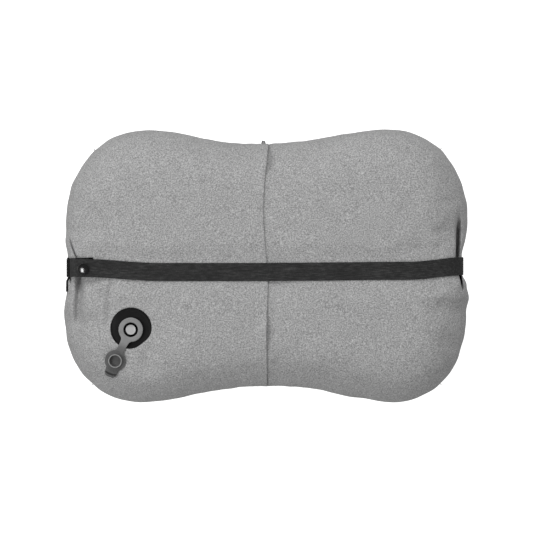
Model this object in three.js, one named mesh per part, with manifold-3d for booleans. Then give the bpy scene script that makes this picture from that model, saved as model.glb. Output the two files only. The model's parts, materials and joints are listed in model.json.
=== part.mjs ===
// Inflatable camp pillow in a fabric slip cover, with an elastic strap and a push-button air valve.
// Millimetres, +Z up. The pillow lies on its sleeping face, so the strap and the valve are on top.
// The origin is the middle of the outline, on the plane that the pillow rests on.

import * as THREE from "three";
import { mergeVertices } from "three/addons/utils/BufferGeometryUtils.js";
import Module from "manifold-3d";

const wasm = await Module();
wasm.setup();

const { degToRad, smoothstep } = THREE.MathUtils;

// --- Driving dimensions -------------------------------------------------------------------------

// Outline seen from above: two round-cornered lobes with a waist between them.
const HALF_LENGTH = 220;
const LOBE_X = 133;
const LOBE_HALF_WIDTH = 149;
const WAIST_HALF_WIDTH = 132.5;
const CORNER_Y = 48;
const CORNER_LENGTH = HALF_LENGTH - LOBE_X;
const CORNER_WIDTH = LOBE_HALF_WIDTH - CORNER_Y;

// Edge section: a quarter of a superellipse from the seam up to the flat top, or down to the floor.
const TOP_Z = 108;
const SEAM_Z = 54;
const EDGE_WIDTH = 60;
const ROUNDNESS = 2.3;

// The snap sits on the facet of the edge section between these two angles, this far along it.
const SNAP_ANGLES = [75, 57].map(degToRad);
const SNAP_SHARE = 0.6;
const TAB_TOP_ANGLE = degToRad(82);
const LOWER_ANGLES = [38, 24, 11, 0].map(degToRad);
const EDGE_ANGLES = [Math.PI / 2, TAB_TOP_ANGLE, ...SNAP_ANGLES, ...LOWER_ANGLES];

// The strap's pull: it narrows the outline, presses into the sides and draws them up squarer.
const STRAP_Y = -3;
const STRAP_WIDTH = 20;
const PULL_WIDTH = 12;
const PULL_FADE = 33;
const PINCH = { left: 3, right: 7 };
const GROOVE = 1.5;
const SQUARED_ROUNDNESS = 4.5;
const PULL_STOPS = [PULL_WIDTH, PULL_WIDTH + PULL_FADE / 2];
const SIDE_STOPS = [
  -CORNER_Y,
  ...[...PULL_STOPS].reverse().map((reach) => STRAP_Y - reach),
  ...PULL_STOPS.map((reach) => STRAP_Y + reach),
  CORNER_Y,
];

// Layers, as depths below the outside of the cover.
const GAP = 0.5;
const SEAM_GAP = 0.3;
const FABRIC = 1.2;
const UNDERLAP = FABRIC + GAP;
const FLANGE_DEPTH = UNDERLAP;
const FLANGE_THICKNESS = 1;
const FILM = 1;
const FILM_DEPTH = 3.5;
const FILM_SEAM_DEPTH = 9;
const WELD_EDGE_DEPTH = 3.4;

// The lap down the middle of the back of the cover.
const LAP_EDGE_X = 1;
const UNDERLAP_EDGE_X = -45;
const UNDERLAP_FADE = [0, 66];

// Baffles that tie the two films together.
const BAFFLE_X = { left: -75, centre: 0, right: 75 };
const BAFFLE_HALF_WIDTH = 60;
const BAFFLE_THICKNESS = 0.8;
const BAFFLE_GAP = 0.4;
const AIR_HOLE_RADIUS = 12;
const AIR_HOLE_SPACING = 36;

// Valve, measured from its axis and from the top of the cover.
const VALVE_X = -147.5;
const VALVE_Y = -68.5;
const TETHER_DIRECTION = degToRad(243.5);
const COVER_HOLE_RADIUS = 23;
const FLANGE_RADIUS = 27.5;
const MOUTH_RADIUS = 7.85;
const HOUSING_RADIUS = 9;
const HOUSING_HOLE_RADIUS = HOUSING_RADIUS + 0.4;
const DRILL_OVERRUN = 1;
const HOUSING_TOP = -1;
const HOUSING_BOTTOM = -14;
const HOUSING_SHOULDER_RADIUS = 12;
const HOUSING_SHOULDER_TOP = -FILM_DEPTH - FILM - 0.8;
const HOUSING_SHOULDER_THICKNESS = 1;
const FLOOR_TOP = -8.6;
const FLOOR_BOTTOM = -10;
const SEAT_RADIUS = 5.6;
const SEAT_TOP = -12.8;
const PORT_RADIUS = 1.7;
const PORT_CIRCLE = 5;
const COLLAR_RADIUS = 13.3;
const COLLAR_TOP = 2.6;
const COLLAR_BOTTOM = -1.3;
const COLLAR_LIP_BOTTOM = -0.7;
const COLLAR_BEVEL = 0.6;
const MOUTH_BEVEL = 0.4;
const BUTTON_RADIUS = 5.8;
const BUTTON_TOP = -0.4;
const BUTTON_THICKNESS = 1.2;
const BUTTON_BEVEL = 0.4;
const BUTTON_DISH_RADIUS = 4.8;
const BUTTON_DISH_DEPTH = 0.3;
const STEM_RADIUS = 1.8;
const STEM_HOLE_RADIUS = STEM_RADIUS + 0.4;
const STEM_BOTTOM = -17;
const FOOT_RADIUS = 3;
const FOOT_THICKNESS = 1;
const SEAL_RADIUS = 7.2;
const SEAL_BORE_RADIUS = STEM_RADIUS + 0.35;
const SEAL_TOP = HOUSING_BOTTOM - 0.3;
const SEAL_THICKNESS = 1.3;
const SPRING_RADIUS = 3.4;
const SPRING_WIRE_RADIUS = 0.35;
const SPRING_TURNS = 4.5;
const SPRING_STEPS_PER_TURN = 12;
const SPRING_END_GAP = 0.2;

// Cap on its tether. It is drawn closed, about the fold line of the tether, and then swung open.
// The fold line lies half-way up the gap between the collar and the closed cap.
const FOLD_RADIUS = 18.8;
const HALF_CAP_GAP = 0.15;
const FOLD_Z = COLLAR_TOP + HALF_CAP_GAP;
const CAP_OPEN_ANGLE = degToRad(189);
const CAP_RADIUS = 11.5;
const CAP_THICKNESS = 2;
const CAP_FLOOR = 1;
const CAP_BEVEL_WIDTH = 2.5;
const CAP_BEVEL_DEPTH = 1;
const PLUG_LENGTH = 4.2;
const PLUG_RADIUS = 7.7;
const PLUG_TIP_RADIUS = 7.35;
const PLUG_BORE_RADIUS = 6.25;
const TETHER_WIDTH = 8;
const TETHER_ROOT_WIDTH = 12.8;
const TETHER_THICKNESS = 1.6;
const TETHER_ROOT_OVERLAP = 2.5;
const PULL_TAB_REACH = 20;
const PULL_TAB_WIDTH = 13;
const PULL_TAB_ROOT_WIDTH = 15;
const PULL_TAB_CORNER = 2.5;
const PULL_TAB_TURN = degToRad(11);

// Strap: a band, an end that peels up from the snap, and the tab that the end snaps on to.
const STRAP_THICKNESS = 1.2;
const STRAP_RISE = 0.5;
const STRAP_SPLIT_X = -150;
const STRAP_SPLIT_GAP = 0.5;
const SNAP_RISE = 5.4;
const TIP_RISE = 3;
const STRAP_TIP_ANGLE = degToRad(30);
const TAB_THICKNESS = 1;
const TAB_RISE = [0.4, 1.4];

// The tab's root patch, bound into the side seam.
const ROOT_LOW_Y = -27;
const ROOT_HIGH_Y = 9;
const ROOT_HEIGHT = 28;
const ROOT_REACH = 12;
const ROOT_RISE = [0.4, 1.9];

// Snap, measured up its own axis from the cover.
const SNAP_DISC_RADIUS = 4.5;
const SNAP_HOLE_RADIUS = 2.1;
const POST_RADIUS = 1.5;
const POST_BOTTOM = 0.45;
const POST_TOP = 3.6;
const POST_DISC_THICKNESS = 0.5;
const STUD_BOTTOM = 2.8;
const STUD_DISC_THICKNESS = 0.6;
const STUD_NECK_RADIUS = 2.3;
const STUD_HEAD_RADIUS = 2.4;
const STUD_SHOULDER = 4.6;
const STUD_TOP = 5.1;
const STUD_TOP_RADIUS = 1.9;
const STUD_BORE_RADIUS = 1.85;
const STUD_BORE_TOP = 4.2;
const STUD_VENT_RADIUS = 0.6;
const SOCKET_RADIUS = 5.2;
const SOCKET_BORE_RADIUS = 3.25;
const SOCKET_BOTTOM = 3.75;
const SOCKET_TOP = 5.75;
const SOCKET_ROOF_THICKNESS = 0.3;
const SOCKET_EYE_RADIUS = 1.2;
const SNAP_CAP_RADIUS = 6.4;
const SNAP_CAP_UNDERSIDE = 7.7;
const SNAP_CAP_EDGE = 8.2;
const SNAP_CAP_TOP = 10;
const SHANK_RADIUS = 0.9;
const SHANK_BOTTOM = 5.6;

// --- Solids and meshes --------------------------------------------------------------------------

// The geometry reduced to its positions, with shared vertices merged and faces pointing out.
function closed(geometry) {
  const bare = geometry.clone();
  bare.deleteAttribute("normal");
  bare.deleteAttribute("uv");
  const merged = mergeVertices(bare, 1e-4);
  const position = merged.attributes.position;
  const corner = [0, 1, 2].map(() => new THREE.Vector3());
  const triangles = [];
  let volume = 0;
  for (let i = 0; i < merged.index.count; i += 3) {
    const triangle = [0, 1, 2].map((j) => merged.index.getX(i + j));
    if (new Set(triangle).size < 3) continue;
    corner.forEach((point, j) => point.fromBufferAttribute(position, triangle[j]));
    volume += corner[0].dot(corner[1].cross(corner[2]));
    triangles.push(triangle);
  }
  if (volume < 0) triangles.forEach((triangle) => triangle.reverse());
  merged.setIndex(triangles.flat());
  return merged;
}

function solid(geometry) {
  const ready = closed(geometry);
  const vertProperties = ready.attributes.position.array;
  const triVerts = new Uint32Array(ready.index.array);
  return new wasm.Manifold(new wasm.Mesh({ numProp: 3, vertProperties, triVerts }));
}

function geometryOf(manifold) {
  const { vertProperties, triVerts } = manifold.getMesh();
  const geometry = new THREE.BufferGeometry();
  geometry.setAttribute("position", new THREE.BufferAttribute(vertProperties, 3));
  geometry.setIndex(new THREE.BufferAttribute(triVerts, 1));
  return geometry;
}

const cut = (geometry, ...tools) =>
  geometryOf(tools.reduce((left, tool) => left.subtract(solid(tool)), solid(geometry)));
const join = (geometry, ...others) =>
  geometryOf(others.reduce((sum, other) => sum.add(solid(other)), solid(geometry)));
const keepInside = (geometry, tool) => geometryOf(solid(geometry).intersect(solid(tool)));

function mesh(name, geometry, material) {
  const made = new THREE.Mesh(closed(geometry), material.clone());
  made.name = name;
  made.geometry.computeVertexNormals();
  return made;
}

// A solid of revolution about Z from [radius, z] points; a profile off the axis closes on itself.
function turned(profile, segments = 32) {
  const points = profile.map(([radius, z]) => new THREE.Vector2(radius, z));
  if (profile[0][0] > 0) points.push(points[0].clone());
  return new THREE.LatheGeometry(points, segments).rotateX(Math.PI / 2);
}

// An upright rod about Z, between two heights.
function rod(radius, low, high, segments = 32) {
  return new THREE.CylinderGeometry(radius, radius, high - low, segments)
    .rotateX(Math.PI / 2)
    .translate(0, 0, (low + high) / 2);
}

// A flat plate from a closed list of [x, y] points, between two heights.
function plate(points, low, high) {
  const shape = new THREE.Shape(points.map(([x, y]) => new THREE.Vector2(x, y)));
  return new THREE.ExtrudeGeometry(shape, { depth: high - low, bevelEnabled: false })
    .translate(0, 0, low);
}

// --- Pillow outline and edge section ------------------------------------------------------------

const strapPull = (y) =>
  1 - smoothstep(Math.abs(y - STRAP_Y), PULL_WIDTH, PULL_WIDTH + PULL_FADE);
const side = (pinch) => (y) => [HALF_LENGTH - pinch * strapPull(y), y];
const corner = (angle) => [
  LOBE_X + CORNER_LENGTH * Math.cos(angle),
  CORNER_Y + CORNER_WIDTH * Math.sin(angle),
];
const waist = (x) => {
  const swell = (1 - Math.cos((Math.PI * x) / LOBE_X)) / 2;
  return [x, WAIST_HALF_WIDTH + (LOBE_HALF_WIDTH - WAIST_HALF_WIDTH) * swell];
};

// A point of the outline with its inward normal and how much the strap pulls on the section there.
function station(curve, flipX, flipY, at, step) {
  const place = (t) => {
    const [x, y] = curve(t);
    return new THREE.Vector2(flipX * x, flipY * y);
  };
  const point = place(at);
  const tangent = place(at + step).sub(place(at - step)).normalize();
  const onSide = Math.abs(point.x) > LOBE_X && Math.abs(point.y) < CORNER_Y;
  const pull = onSide ? strapPull(point.y) : 0;
  return { point, inward: new THREE.Vector2(-tangent.y, tangent.x), pull };
}

// The whole outline, counterclockwise from the bottom of the right side.
function outline() {
  const spread = (from, to, count) =>
    Array.from({ length: count + 1 }, (_, i) => from + ((to - from) * i) / count);
  const run = (curve, flipX, flipY, stops) => {
    const step = 1e-3 * Math.sign(stops[1] - stops[0]);
    return stops.slice(0, -1).map((at) => station(curve, flipX, flipY, at, step));
  };
  const quarter = Math.PI / 2;
  return [
    ...run(side(PINCH.right), 1, 1, SIDE_STOPS),
    ...run(corner, 1, 1, spread(0, quarter, 6)),
    ...run(waist, 1, 1, spread(LOBE_X, -LOBE_X, 8)),
    ...run(corner, -1, 1, spread(quarter, 0, 6)),
    ...run(side(PINCH.left), -1, 1, [...SIDE_STOPS].reverse()),
    ...run(corner, -1, -1, spread(0, quarter, 6)),
    ...run(waist, 1, -1, spread(-LOBE_X, LOBE_X, 8)),
    ...run(corner, 1, -1, spread(quarter, 0, 6)),
  ];
}

const OUTLINE = outline();
const UP = 1;
const DOWN = -1;

// How much of the strap's groove is left at an angle up the edge section: none on the flat top.
const grooveShare = (angle) => 1 - smoothstep(angle, SNAP_ANGLES[0], Math.PI / 2);

// A point of a layer: `depth` below the cover's outside, `angle` up (or down) from the seam, and
// never closer to the seam plane than `lift`.
function edgePoint({ point, inward, pull }, angle, half, depth, lift) {
  const squaring = half === UP ? pull : 0;
  const roundness = THREE.MathUtils.lerp(ROUNDNESS, SQUARED_ROUNDNESS, squaring);
  const across = Math.max(0, Math.cos(angle)) ** (2 / roundness);
  const rise = Math.sin(angle) ** (2 / roundness);
  const nominalX = point.x + inward.x * EDGE_WIDTH * (1 - across);
  const sunk = depth(nominalX, angle) + GROOVE * pull * grooveShare(angle);
  const inset = EDGE_WIDTH - (EDGE_WIDTH - sunk) * across;
  const height = (half === UP ? TOP_Z - SEAM_Z : SEAM_Z) - sunk - lift;
  return new THREE.Vector3(
    point.x + inward.x * inset,
    point.y + inward.y * inset,
    SEAM_Z + half * (lift + height * rise),
  );
}

// One skin of a layer, as rings of points from the flat middle out to the seam.
const skin = (half, depth, lift) =>
  EDGE_ANGLES.map((angle) => OUTLINE.map((at) => edgePoint(at, angle, half, depth, lift)));

// A closed solid through rings of points, from the middle of one skin over the rim to the other.
function shell(rings) {
  const count = OUTLINE.length;
  const middle = (ring) => {
    const [near] = [...ring].sort((a, b) => Math.abs(a.x) - Math.abs(b.x));
    return new THREE.Vector3(0, 0, near.z);
  };
  const points = [...rings.flat(), middle(rings[0]), middle(rings[rings.length - 1])];
  const [start, end] = [rings.length * count, rings.length * count + 1];
  const faces = [];
  for (let k = 0; k < count; k++) {
    const next = (k + 1) % count;
    faces.push(start, k, next);
    for (let i = 0; i < rings.length - 1; i++) {
      const [a, b] = [i * count + k, i * count + next];
      faces.push(a, a + count, b + count, a, b + count, b);
    }
    const last = (rings.length - 1) * count;
    faces.push(last + k, end, last + next);
  }
  const geometry = new THREE.BufferGeometry().setFromPoints(points);
  geometry.setIndex(faces);
  return geometry;
}

function coverShell(half, depth) {
  const outer = skin(half, depth, SEAM_GAP / 2);
  const inner = skin(half, (x, angle) => depth(x, angle) + FABRIC, SEAM_GAP / 2);
  return shell([...outer, ...inner.reverse()]);
}

// A box over the whole pillow between two X values.
function slab(lowX, highX) {
  return new THREE.BoxGeometry(highX - lowX, 4 * LOBE_HALF_WIDTH, 4 * TOP_Z)
    .translate((lowX + highX) / 2, 0, 0);
}

// A rod on the valve's axis that reaches from well inside the pillow to well above it.
const valveDrill = (radius) =>
  rod(radius, TOP_Z - EDGE_WIDTH, TOP_Z + EDGE_WIDTH, 48).translate(VALVE_X, VALVE_Y, 0);

// --- Materials ----------------------------------------------------------------------------------

const finish = (color, roughness) =>
  new THREE.MeshStandardMaterial({ color, roughness, metalness: 0 });
const MELANGE = finish(0xa4a4a4, 0.95);
const ELASTIC = finish(0x333333, 0.85);
const WEBBING = finish(0x262626, 0.85);
const FILM_GREY = finish(0x55585c, 0.5);
const FLANGE_BLACK = finish(0x2b2b2b, 0.55);
const MOULDED_GREY = finish(0x969696, 0.5);
const BUTTON_GREY = finish(0xb0b0b0, 0.45);
const SNAP_BLACK = finish(0x161616, 0.2);
const RUBBER = finish(0x202020, 0.8);
const STEEL = new THREE.MeshStandardMaterial({ color: 0xb8bcc0, roughness: 0.3, metalness: 1 });

// --- Slip cover ---------------------------------------------------------------------------------

function coverFrontPanel() {
  return mesh("cover_front_panel", coverShell(DOWN, () => 0), MELANGE);
}

// The left half of the back lies on top of the lap and has the opening for the valve.
function coverBackPanelLeft() {
  const half = keepInside(coverShell(UP, () => 0), slab(-2 * HALF_LENGTH, LAP_EDGE_X));
  return mesh("cover_back_panel_left", cut(half, valveDrill(COVER_HOLE_RADIUS)), MELANGE);
}

// The right half runs on underneath the lap and comes up to the surface beyond it.
function coverBackPanelRight() {
  const depth = (x) => UNDERLAP * (1 - smoothstep(x, ...UNDERLAP_FADE));
  const half = keepInside(coverShell(UP, depth), slab(UNDERLAP_EDGE_X, 2 * HALF_LENGTH));
  return mesh("cover_back_panel_right", half, MELANGE);
}

// --- Air bladder --------------------------------------------------------------------------------

// A film with the flat welded edge that stands out round the seam.
function bladderFilm(half) {
  const depth = (_x, angle) =>
    FILM_DEPTH + (FILM_SEAM_DEPTH - FILM_DEPTH) * Math.cos(angle) ** 2;
  const [weldOuter, weldInner] = [SEAM_GAP / 2 + FILM, SEAM_GAP / 2];
  const weldRing = (lift) => OUTLINE.map((at) => edgePoint(at, 0, half, () => WELD_EDGE_DEPTH, lift));
  const outer = skin(half, depth, weldOuter);
  const inner = skin(half, (x, angle) => depth(x, angle) + FILM, weldInner);
  return shell([...outer, weldRing(weldOuter), weldRing(weldInner), ...inner.reverse()]);
}

function bladderFilms() {
  const back = cut(bladderFilm(UP), valveDrill(HOUSING_HOLE_RADIUS));
  return [
    mesh("bladder_front_film", bladderFilm(DOWN), FILM_GREY),
    mesh("bladder_back_film", back, FILM_GREY),
  ];
}

// An upright web from film to film, with holes that let the air through.
function baffle(name, x) {
  const low = FILM_DEPTH + FILM + BAFFLE_GAP;
  const high = TOP_Z - low;
  const web = new THREE.Shape();
  web.moveTo(-BAFFLE_HALF_WIDTH, low);
  web.lineTo(BAFFLE_HALF_WIDTH, low);
  web.lineTo(BAFFLE_HALF_WIDTH, high);
  web.lineTo(-BAFFLE_HALF_WIDTH, high);
  for (const y of [-AIR_HOLE_SPACING, 0, AIR_HOLE_SPACING]) {
    const hole = new THREE.Path();
    hole.absarc(y, SEAM_Z, AIR_HOLE_RADIUS, 0, 2 * Math.PI);
    web.holes.push(hole);
  }
  const options = { depth: BAFFLE_THICKNESS, bevelEnabled: false, curveSegments: 8 };
  const upright = new THREE.ExtrudeGeometry(web, options).rotateX(Math.PI / 2).rotateZ(Math.PI / 2);
  const made = mesh(name, upright, FILM_GREY);
  made.position.x = x - BAFFLE_THICKNESS / 2;
  return made;
}

const baffles = () => Object.entries(BAFFLE_X).map(([at, x]) => baffle(`baffle_${at}`, x));

// --- Valve --------------------------------------------------------------------------------------

// The black disc welded on the bladder, curved as the bladder is.
function valveFlange() {
  const outer = skin(UP, () => FLANGE_DEPTH, SEAM_GAP / 2);
  const inner = skin(UP, () => FLANGE_DEPTH + FLANGE_THICKNESS, SEAM_GAP / 2);
  const layer = shell([...outer, ...inner.reverse()]);
  const disc = keepInside(layer, valveDrill(FLANGE_RADIUS));
  return mesh("valve_flange", cut(disc, valveDrill(HOUSING_HOLE_RADIUS)), FLANGE_BLACK);
}

function valveHousing() {
  const shoulderBottom = HOUSING_SHOULDER_TOP - HOUSING_SHOULDER_THICKNESS;
  const body = turned([
    [HOUSING_RADIUS, HOUSING_TOP],
    [MOUTH_RADIUS, HOUSING_TOP],
    [MOUTH_RADIUS, FLOOR_TOP],
    [STEM_HOLE_RADIUS, FLOOR_TOP],
    [STEM_HOLE_RADIUS, FLOOR_BOTTOM],
    [MOUTH_RADIUS, FLOOR_BOTTOM],
    [MOUTH_RADIUS, SEAT_TOP],
    [SEAT_RADIUS, SEAT_TOP],
    [SEAT_RADIUS, HOUSING_BOTTOM],
    [HOUSING_RADIUS, HOUSING_BOTTOM],
    [HOUSING_RADIUS, shoulderBottom],
    [HOUSING_SHOULDER_RADIUS, shoulderBottom],
    [HOUSING_SHOULDER_RADIUS, HOUSING_SHOULDER_TOP],
    [HOUSING_RADIUS, HOUSING_SHOULDER_TOP],
  ]);
  const ports = [0, 1, 2, 3].map((i) =>
    rod(PORT_RADIUS, FLOOR_BOTTOM - DRILL_OVERRUN, FLOOR_TOP + DRILL_OVERRUN, 8)
      .translate(PORT_CIRCLE, 0, 0)
      .rotateZ((i * Math.PI) / 2),
  );
  return mesh("valve_housing", cut(body, ...ports), FLANGE_BLACK);
}

// A strip of tether along X that widens smoothly towards `root`.
function tetherStrip(root, tip, low) {
  const [narrow, wide] = [TETHER_WIDTH / 2, TETHER_ROOT_WIDTH / 2];
  const waistX = THREE.MathUtils.lerp(root, tip, 0.6);
  const shape = new THREE.Shape();
  shape.moveTo(root, -wide);
  shape.quadraticCurveTo(waistX, -narrow, tip, -narrow);
  shape.lineTo(tip, narrow);
  shape.quadraticCurveTo(waistX, narrow, root, wide);
  const options = { depth: TETHER_THICKNESS, bevelEnabled: false, curveSegments: 6 };
  return new THREE.ExtrudeGeometry(shape, options).translate(0, 0, low);
}

function valveCollar() {
  const ring = turned([
    [MOUTH_RADIUS, COLLAR_TOP - MOUTH_BEVEL],
    [MOUTH_RADIUS, COLLAR_LIP_BOTTOM],
    [HOUSING_HOLE_RADIUS, COLLAR_LIP_BOTTOM],
    [HOUSING_HOLE_RADIUS, COLLAR_BOTTOM],
    [COLLAR_RADIUS, COLLAR_BOTTOM],
    [COLLAR_RADIUS, COLLAR_TOP - COLLAR_BEVEL],
    [COLLAR_RADIUS - COLLAR_BEVEL, COLLAR_TOP],
    [MOUTH_RADIUS + MOUTH_BEVEL, COLLAR_TOP],
  ]);
  const [root, tip] = [COLLAR_RADIUS - TETHER_ROOT_OVERLAP, FOLD_RADIUS - HALF_CAP_GAP];
  const stub = tetherStrip(root, tip, COLLAR_TOP - TETHER_THICKNESS);
  return mesh("valve_collar", join(ring, stub), MOULDED_GREY);
}

function valveButton() {
  const bottom = BUTTON_TOP - BUTTON_THICKNESS;
  const profile = [
    [0, BUTTON_TOP - BUTTON_DISH_DEPTH],
    [BUTTON_DISH_RADIUS, BUTTON_TOP],
    [BUTTON_RADIUS - BUTTON_BEVEL, BUTTON_TOP],
    [BUTTON_RADIUS, BUTTON_TOP - BUTTON_BEVEL],
    [BUTTON_RADIUS, bottom],
    [STEM_RADIUS, bottom],
    [STEM_RADIUS, STEM_BOTTOM + FOOT_THICKNESS],
    [FOOT_RADIUS, STEM_BOTTOM + FOOT_THICKNESS],
    [FOOT_RADIUS, STEM_BOTTOM],
    [0, STEM_BOTTOM],
  ];
  return mesh("valve_button", turned(profile), BUTTON_GREY);
}

function valveSeal() {
  const bottom = SEAL_TOP - SEAL_THICKNESS;
  const profile = [
    [SEAL_BORE_RADIUS, SEAL_TOP],
    [SEAL_BORE_RADIUS, bottom],
    [SEAL_RADIUS, bottom],
    [SEAL_RADIUS, SEAL_TOP],
  ];
  return mesh("valve_seal", turned(profile), RUBBER);
}

class Helix extends THREE.Curve {
  constructor(radius, low, high, turns) {
    super();
    Object.assign(this, { radius, low, high, turns });
  }
  getPoint(t, target = new THREE.Vector3()) {
    const angle = 2 * Math.PI * this.turns * t;
    const z = THREE.MathUtils.lerp(this.low, this.high, t);
    return target.set(this.radius * Math.cos(angle), this.radius * Math.sin(angle), z);
  }
}

function valveSpring() {
  const inset = SPRING_WIRE_RADIUS + SPRING_END_GAP;
  const low = FLOOR_TOP + inset;
  const high = BUTTON_TOP - BUTTON_THICKNESS - inset;
  const wire = new THREE.Shape();
  wire.absarc(0, 0, SPRING_WIRE_RADIUS, 0, 2 * Math.PI);
  const coil = new THREE.ExtrudeGeometry(wire, {
    steps: SPRING_STEPS_PER_TURN * SPRING_TURNS,
    curveSegments: 3,
    bevelEnabled: false,
    extrudePath: new Helix(SPRING_RADIUS, low, high, SPRING_TURNS),
  });
  return mesh("valve_spring", coil, STEEL);
}

// The finger tab on the far side of the cap from the tether.
function pullTab(base) {
  const [root, tip] = [-CAP_RADIUS + TETHER_ROOT_OVERLAP, -PULL_TAB_REACH];
  const shape = new THREE.Shape();
  shape.moveTo(root, -PULL_TAB_ROOT_WIDTH / 2);
  shape.lineTo(root, PULL_TAB_ROOT_WIDTH / 2);
  shape.lineTo(tip + PULL_TAB_CORNER, PULL_TAB_WIDTH / 2);
  shape.lineTo(tip, PULL_TAB_WIDTH / 2 - PULL_TAB_CORNER);
  shape.lineTo(tip, -PULL_TAB_WIDTH / 2 + PULL_TAB_CORNER);
  shape.lineTo(tip + PULL_TAB_CORNER, -PULL_TAB_WIDTH / 2);
  const options = { depth: TETHER_THICKNESS, bevelEnabled: false };
  return new THREE.ExtrudeGeometry(shape, options).translate(0, 0, base).rotateZ(-PULL_TAB_TURN);
}

// The cap as it sits on the valve, with the tether's fold line as its own Y axis.
function valveCap() {
  const base = HALF_CAP_GAP;
  const top = base + CAP_THICKNESS;
  const cup = turned([
    [0, base + CAP_FLOOR],
    [PLUG_BORE_RADIUS, base + CAP_FLOOR],
    [PLUG_BORE_RADIUS, base - PLUG_LENGTH],
    [PLUG_TIP_RADIUS, base - PLUG_LENGTH],
    [PLUG_RADIUS, base],
    [CAP_RADIUS, base],
    [CAP_RADIUS, top - CAP_BEVEL_DEPTH],
    [CAP_RADIUS - CAP_BEVEL_WIDTH, top],
    [0, top],
  ]);
  const tether = tetherStrip(CAP_RADIUS - TETHER_ROOT_OVERLAP, FOLD_RADIUS - HALF_CAP_GAP, base);
  const whole = join(cup, pullTab(base), tether).translate(-FOLD_RADIUS, 0, 0);
  return mesh("valve_cap", whole, MOULDED_GREY);
}

function valve() {
  const hinge = new THREE.Group();
  hinge.position.set(FOLD_RADIUS, 0, FOLD_Z);
  hinge.rotation.y = CAP_OPEN_ANGLE;
  hinge.add(valveCap());
  const group = new THREE.Group();
  group.position.set(VALVE_X, VALVE_Y, TOP_Z);
  group.rotation.z = TETHER_DIRECTION;
  group.add(valveHousing(), valveCollar(), valveButton(), valveSeal(), valveSpring(), hinge);
  return group;
}

// --- Strap --------------------------------------------------------------------------------------

const sideStation = (sign) => ({
  point: new THREE.Vector2(sign * side(sign < 0 ? PINCH.left : PINCH.right)(STRAP_Y)[0], STRAP_Y),
  inward: new THREE.Vector2(-sign, 0),
  pull: 1,
});

// [x, z] of a line that runs `rise` above the cover over one side, in the strap's plane.
function overSide(sign, angles, rise) {
  const at = sideStation(sign);
  return angles.map((angle) => {
    const { x, z } = edgePoint(at, angle, UP, () => -rise(angle), SEAM_GAP / 2);
    return [x, z];
  });
}

// A band of the strap's width between a lower and an upper [x, z] line.
function ribbon(lower, upper) {
  return plate([...lower, ...upper.reverse()], -STRAP_WIDTH / 2, STRAP_WIDTH / 2)
    .rotateX(Math.PI / 2)
    .translate(0, STRAP_Y, 0);
}

function strapBand() {
  const angles = [...EDGE_ANGLES].reverse();
  const line = (rise) => [
    ...overSide(1, angles, () => rise),
    [STRAP_SPLIT_X, TOP_Z + rise],
  ];
  const band = ribbon(line(STRAP_RISE), line(STRAP_RISE + STRAP_THICKNESS));
  return mesh("strap_band", band, ELASTIC);
}

// The strap's end climbs over the snap and comes down again towards its tip.
function strapEnd() {
  const snapAngle = SNAP_ANGLES[1];
  const angles = [...EDGE_ANGLES.filter((angle) => angle > STRAP_TIP_ANGLE), STRAP_TIP_ANGLE];
  const rise = (angle) =>
    angle >= snapAngle
      ? STRAP_RISE + (SNAP_RISE - STRAP_RISE) * grooveShare(angle)
      : TIP_RISE + (SNAP_RISE - TIP_RISE) * smoothstep(angle, STRAP_TIP_ANGLE, snapAngle) ** 2;
  const line = (extra) => [
    [STRAP_SPLIT_X - STRAP_SPLIT_GAP, TOP_Z + STRAP_RISE + extra],
    ...overSide(-1, angles, (angle) => rise(angle) + extra),
  ];
  const strip = ribbon(line(0), line(STRAP_THICKNESS));
  return mesh("strap_end", cut(strip, snapDrill()), ELASTIC);
}

// A wider patch of tape that follows the cover's side up from the seam, under the tab.
function tabRoot() {
  const [low, high] = ROOT_RISE;
  const outer = skin(UP, () => -high, SEAM_GAP / 2);
  const inner = skin(UP, () => -low, SEAM_GAP / 2);
  const patch = new THREE.BoxGeometry(2 * ROOT_REACH, ROOT_HIGH_Y - ROOT_LOW_Y, 2 * ROOT_HEIGHT)
    .translate(-HALF_LENGTH, (ROOT_LOW_Y + ROOT_HIGH_Y) / 2, SEAM_Z);
  return keepInside(shell([...outer, ...inner.reverse()]), patch);
}

// The tab is sewn into the side seam and lies between the cover and the strap's end.
function strapTab() {
  const angles = EDGE_ANGLES.filter((angle) => angle <= TAB_TOP_ANGLE);
  const [low, high] = TAB_RISE;
  const rise = (angle) => THREE.MathUtils.lerp(low, high, grooveShare(angle));
  const line = (extra) => overSide(-1, angles, (angle) => rise(angle) + extra);
  const strip = ribbon(line(0), line(TAB_THICKNESS));
  return mesh("strap_tab", cut(join(strip, tabRoot()), snapDrill()), WEBBING);
}

// --- Snap fastener ------------------------------------------------------------------------------

// The snap's own frame: on the flat of the cover under the strap's end, +Z square to that flat.
function snapFrame() {
  const [upper, lower] = overSide(-1, SNAP_ANGLES, () => 0).map(([x, z]) => new THREE.Vector2(x, z));
  const along = lower.clone().sub(upper);
  const foot = upper.clone().lerp(lower, SNAP_SHARE);
  const frame = new THREE.Group();
  frame.position.set(foot.x, STRAP_Y, foot.y);
  frame.rotation.y = -Math.atan2(-along.y, -along.x);
  frame.updateMatrix();
  return frame;
}

function snapDrill() {
  return rod(SNAP_HOLE_RADIUS, -EDGE_WIDTH / 4, EDGE_WIDTH / 4, 20).applyMatrix4(snapFrame().matrix);
}

function snapPost() {
  const discTop = POST_BOTTOM + POST_DISC_THICKNESS;
  const profile = [
    [0, POST_BOTTOM],
    [SNAP_DISC_RADIUS, POST_BOTTOM],
    [SNAP_DISC_RADIUS, discTop],
    [POST_RADIUS, discTop],
    [POST_RADIUS, POST_TOP],
    [0, POST_TOP],
  ];
  return mesh("snap_post", turned(profile, 24), SNAP_BLACK);
}

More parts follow.
